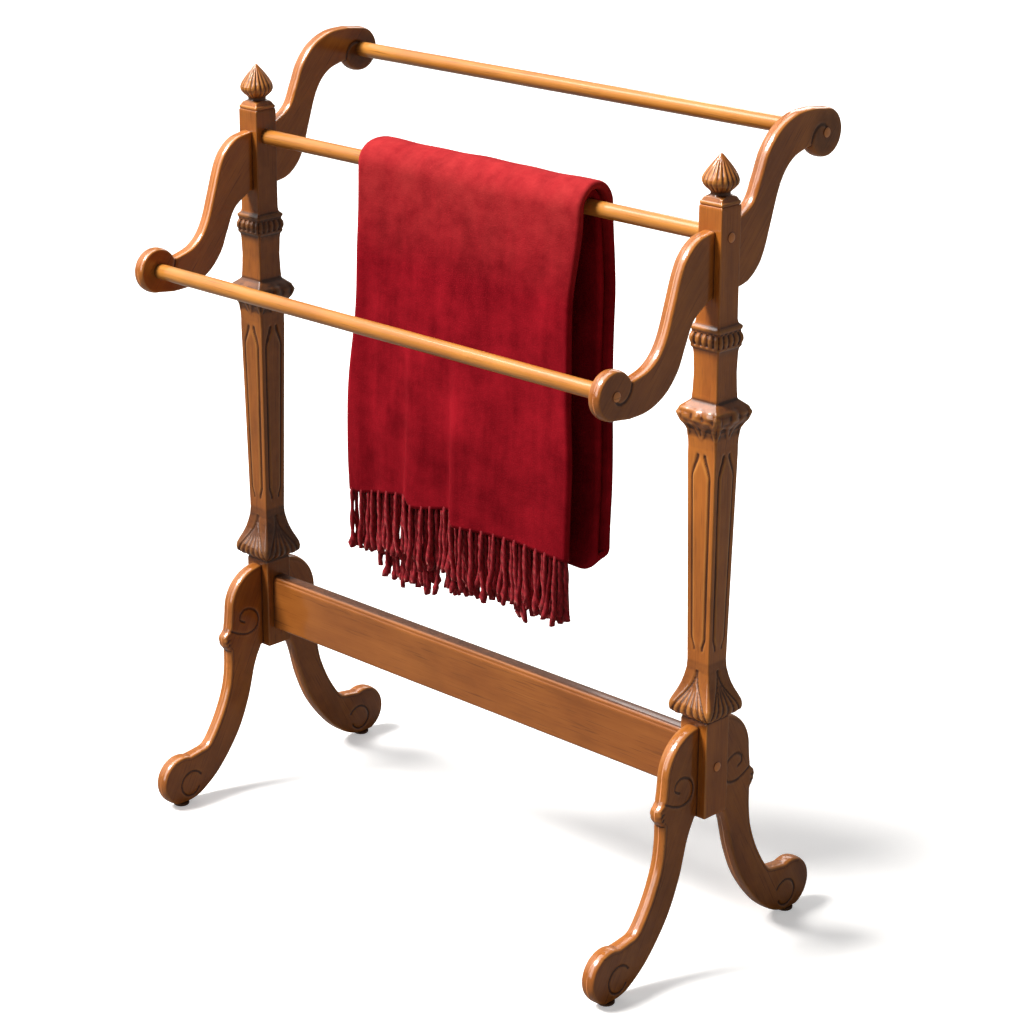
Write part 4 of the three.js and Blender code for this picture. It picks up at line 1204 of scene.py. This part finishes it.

# %% [markdown]

# %% [markdown]
# ## Studio
# A plain pale floor, one broad sun high on the front left, a box overhead, and a box behind that
# draws thin highlights along the edges. The camera sees white surroundings and a white floor, but
# both light the rack only dimly, so that the sides turned from the sun stay deep and warm. Polished
# wood mirrors a soft box and a narrow upright strip, which exist only for glossy rays.

# %% Floor and lights
floor_mesh = bpy.data.meshes.new("floor")
floor_mesh.from_pydata([(-9, -9, 0), (9, -9, 0), (9, 9, 0), (-9, 9, 0)], [], [(0, 1, 2, 3)])
floor = add_object("floor", floor_mesh)
pale, w, connect = new_material(
    "pale floor", {"Roughness": 0.9, "Specular IOR Level": 0.1, "Emission Strength": 0.45})
mottle = w.noise(w.place(), 1.2, 2, 0.5)
seen = w.node("LightPath", out=IS_CAMERA_RAY)
lit_floor = w.blend(mottle, rgba(0.86, 0.86, 0.86), rgba(0.89, 0.89, 0.89))
connect(
    Base_Color=w.blend(seen, rgba(0.20, 0.19, 0.18), lit_floor),
    Emission_Color=w.blend(seen, rgba(0, 0, 0), lit_floor),
)
floor_mesh.materials.append(pale)


def aimed_light(name, kind, place, aim, power, colour, **shape):
    """A light that faces a point."""
    data = bpy.data.lights.new(name, kind)
    data.energy, data.color = power, colour
    for key, value in shape.items():
        setattr(data, key, value)
    light = add_object(name, data)
    light.location = place
    light.rotation_euler = (Vector(aim) - Vector(place)).to_track_quat("-Z", "Y").to_euler()


MIDDLE = (0, 0, 0.5)
BOX = {"shape": "RECTANGLE", "size": 1.6, "size_y": 1.0}
aimed_light("key", "SUN", (-1.6, -2.1, 4.1), MIDDLE, 5.4, (1.0, 0.97, 0.93), angle=math.radians(20))
aimed_light("overhead box", "AREA", (-1.2, -0.9, 2.9), MIDDLE, 34, (1.0, 0.98, 0.96), **BOX)
aimed_light("rim box", "AREA", (-1.3, 2.7, 2.2), MIDDLE, 26, (1.0, 0.98, 0.96), **BOX)

# %% Surroundings
world = bpy.data.worlds.new("studio")
bpy.context.scene.world = world
world.use_nodes = True
tree = world.node_tree
w = Wire(tree)
heading = w.node("TexCoord", out=GENERATED)


def ramp(x, low, high):
    inputs = {0: x, 1: low, 2: high, 3: 0.0, 4: 1.0}
    return w.node("MapRange", inputs, interpolation_type="SMOOTHSTEP")


SOFT_BOX, STRIP_X = (-0.72, -0.25, 0.65), -0.36
DIM, FROM_BOX, FROM_STRIP, FROM_ROUND = 0.13, 1.6, 9.0, 0.16
toward = w.node("VectorMath", {0: heading, 1: SOFT_BOX}, out=1, operation="DOT_PRODUCT")
box = ramp(toward, 0.70, 0.93)
off_strip = w.math("ABSOLUTE", w.part(heading, 0) - STRIP_X)
strip = (1 - ramp(off_strip, 0.08, 0.20)) * ramp(w.part(heading, 2), -0.02, 0.12)
strip = strip * (1 - ramp(w.part(heading, 1), 0.35, 0.6))
camera_ray = w.node("LightPath", out=IS_CAMERA_RAY)
glossy_ray = w.node("LightPath", out=IS_GLOSSY_RAY)
mirrored = box * FROM_BOX + strip * FROM_STRIP + FROM_ROUND
strength = DIM + camera_ray * (1 - DIM) + glossy_ray * mirrored
tree.links.new(strength.socket, tree.nodes["Background"].inputs["Strength"])
tree.nodes["Background"].inputs["Color"].default_value = rgba(1, 0.99, 0.97)
bpy.context.scene.view_settings.view_transform = "Standard"
bpy.context.scene.view_settings.look = "None"
print("surroundings:", len(tree.nodes), "nodes")
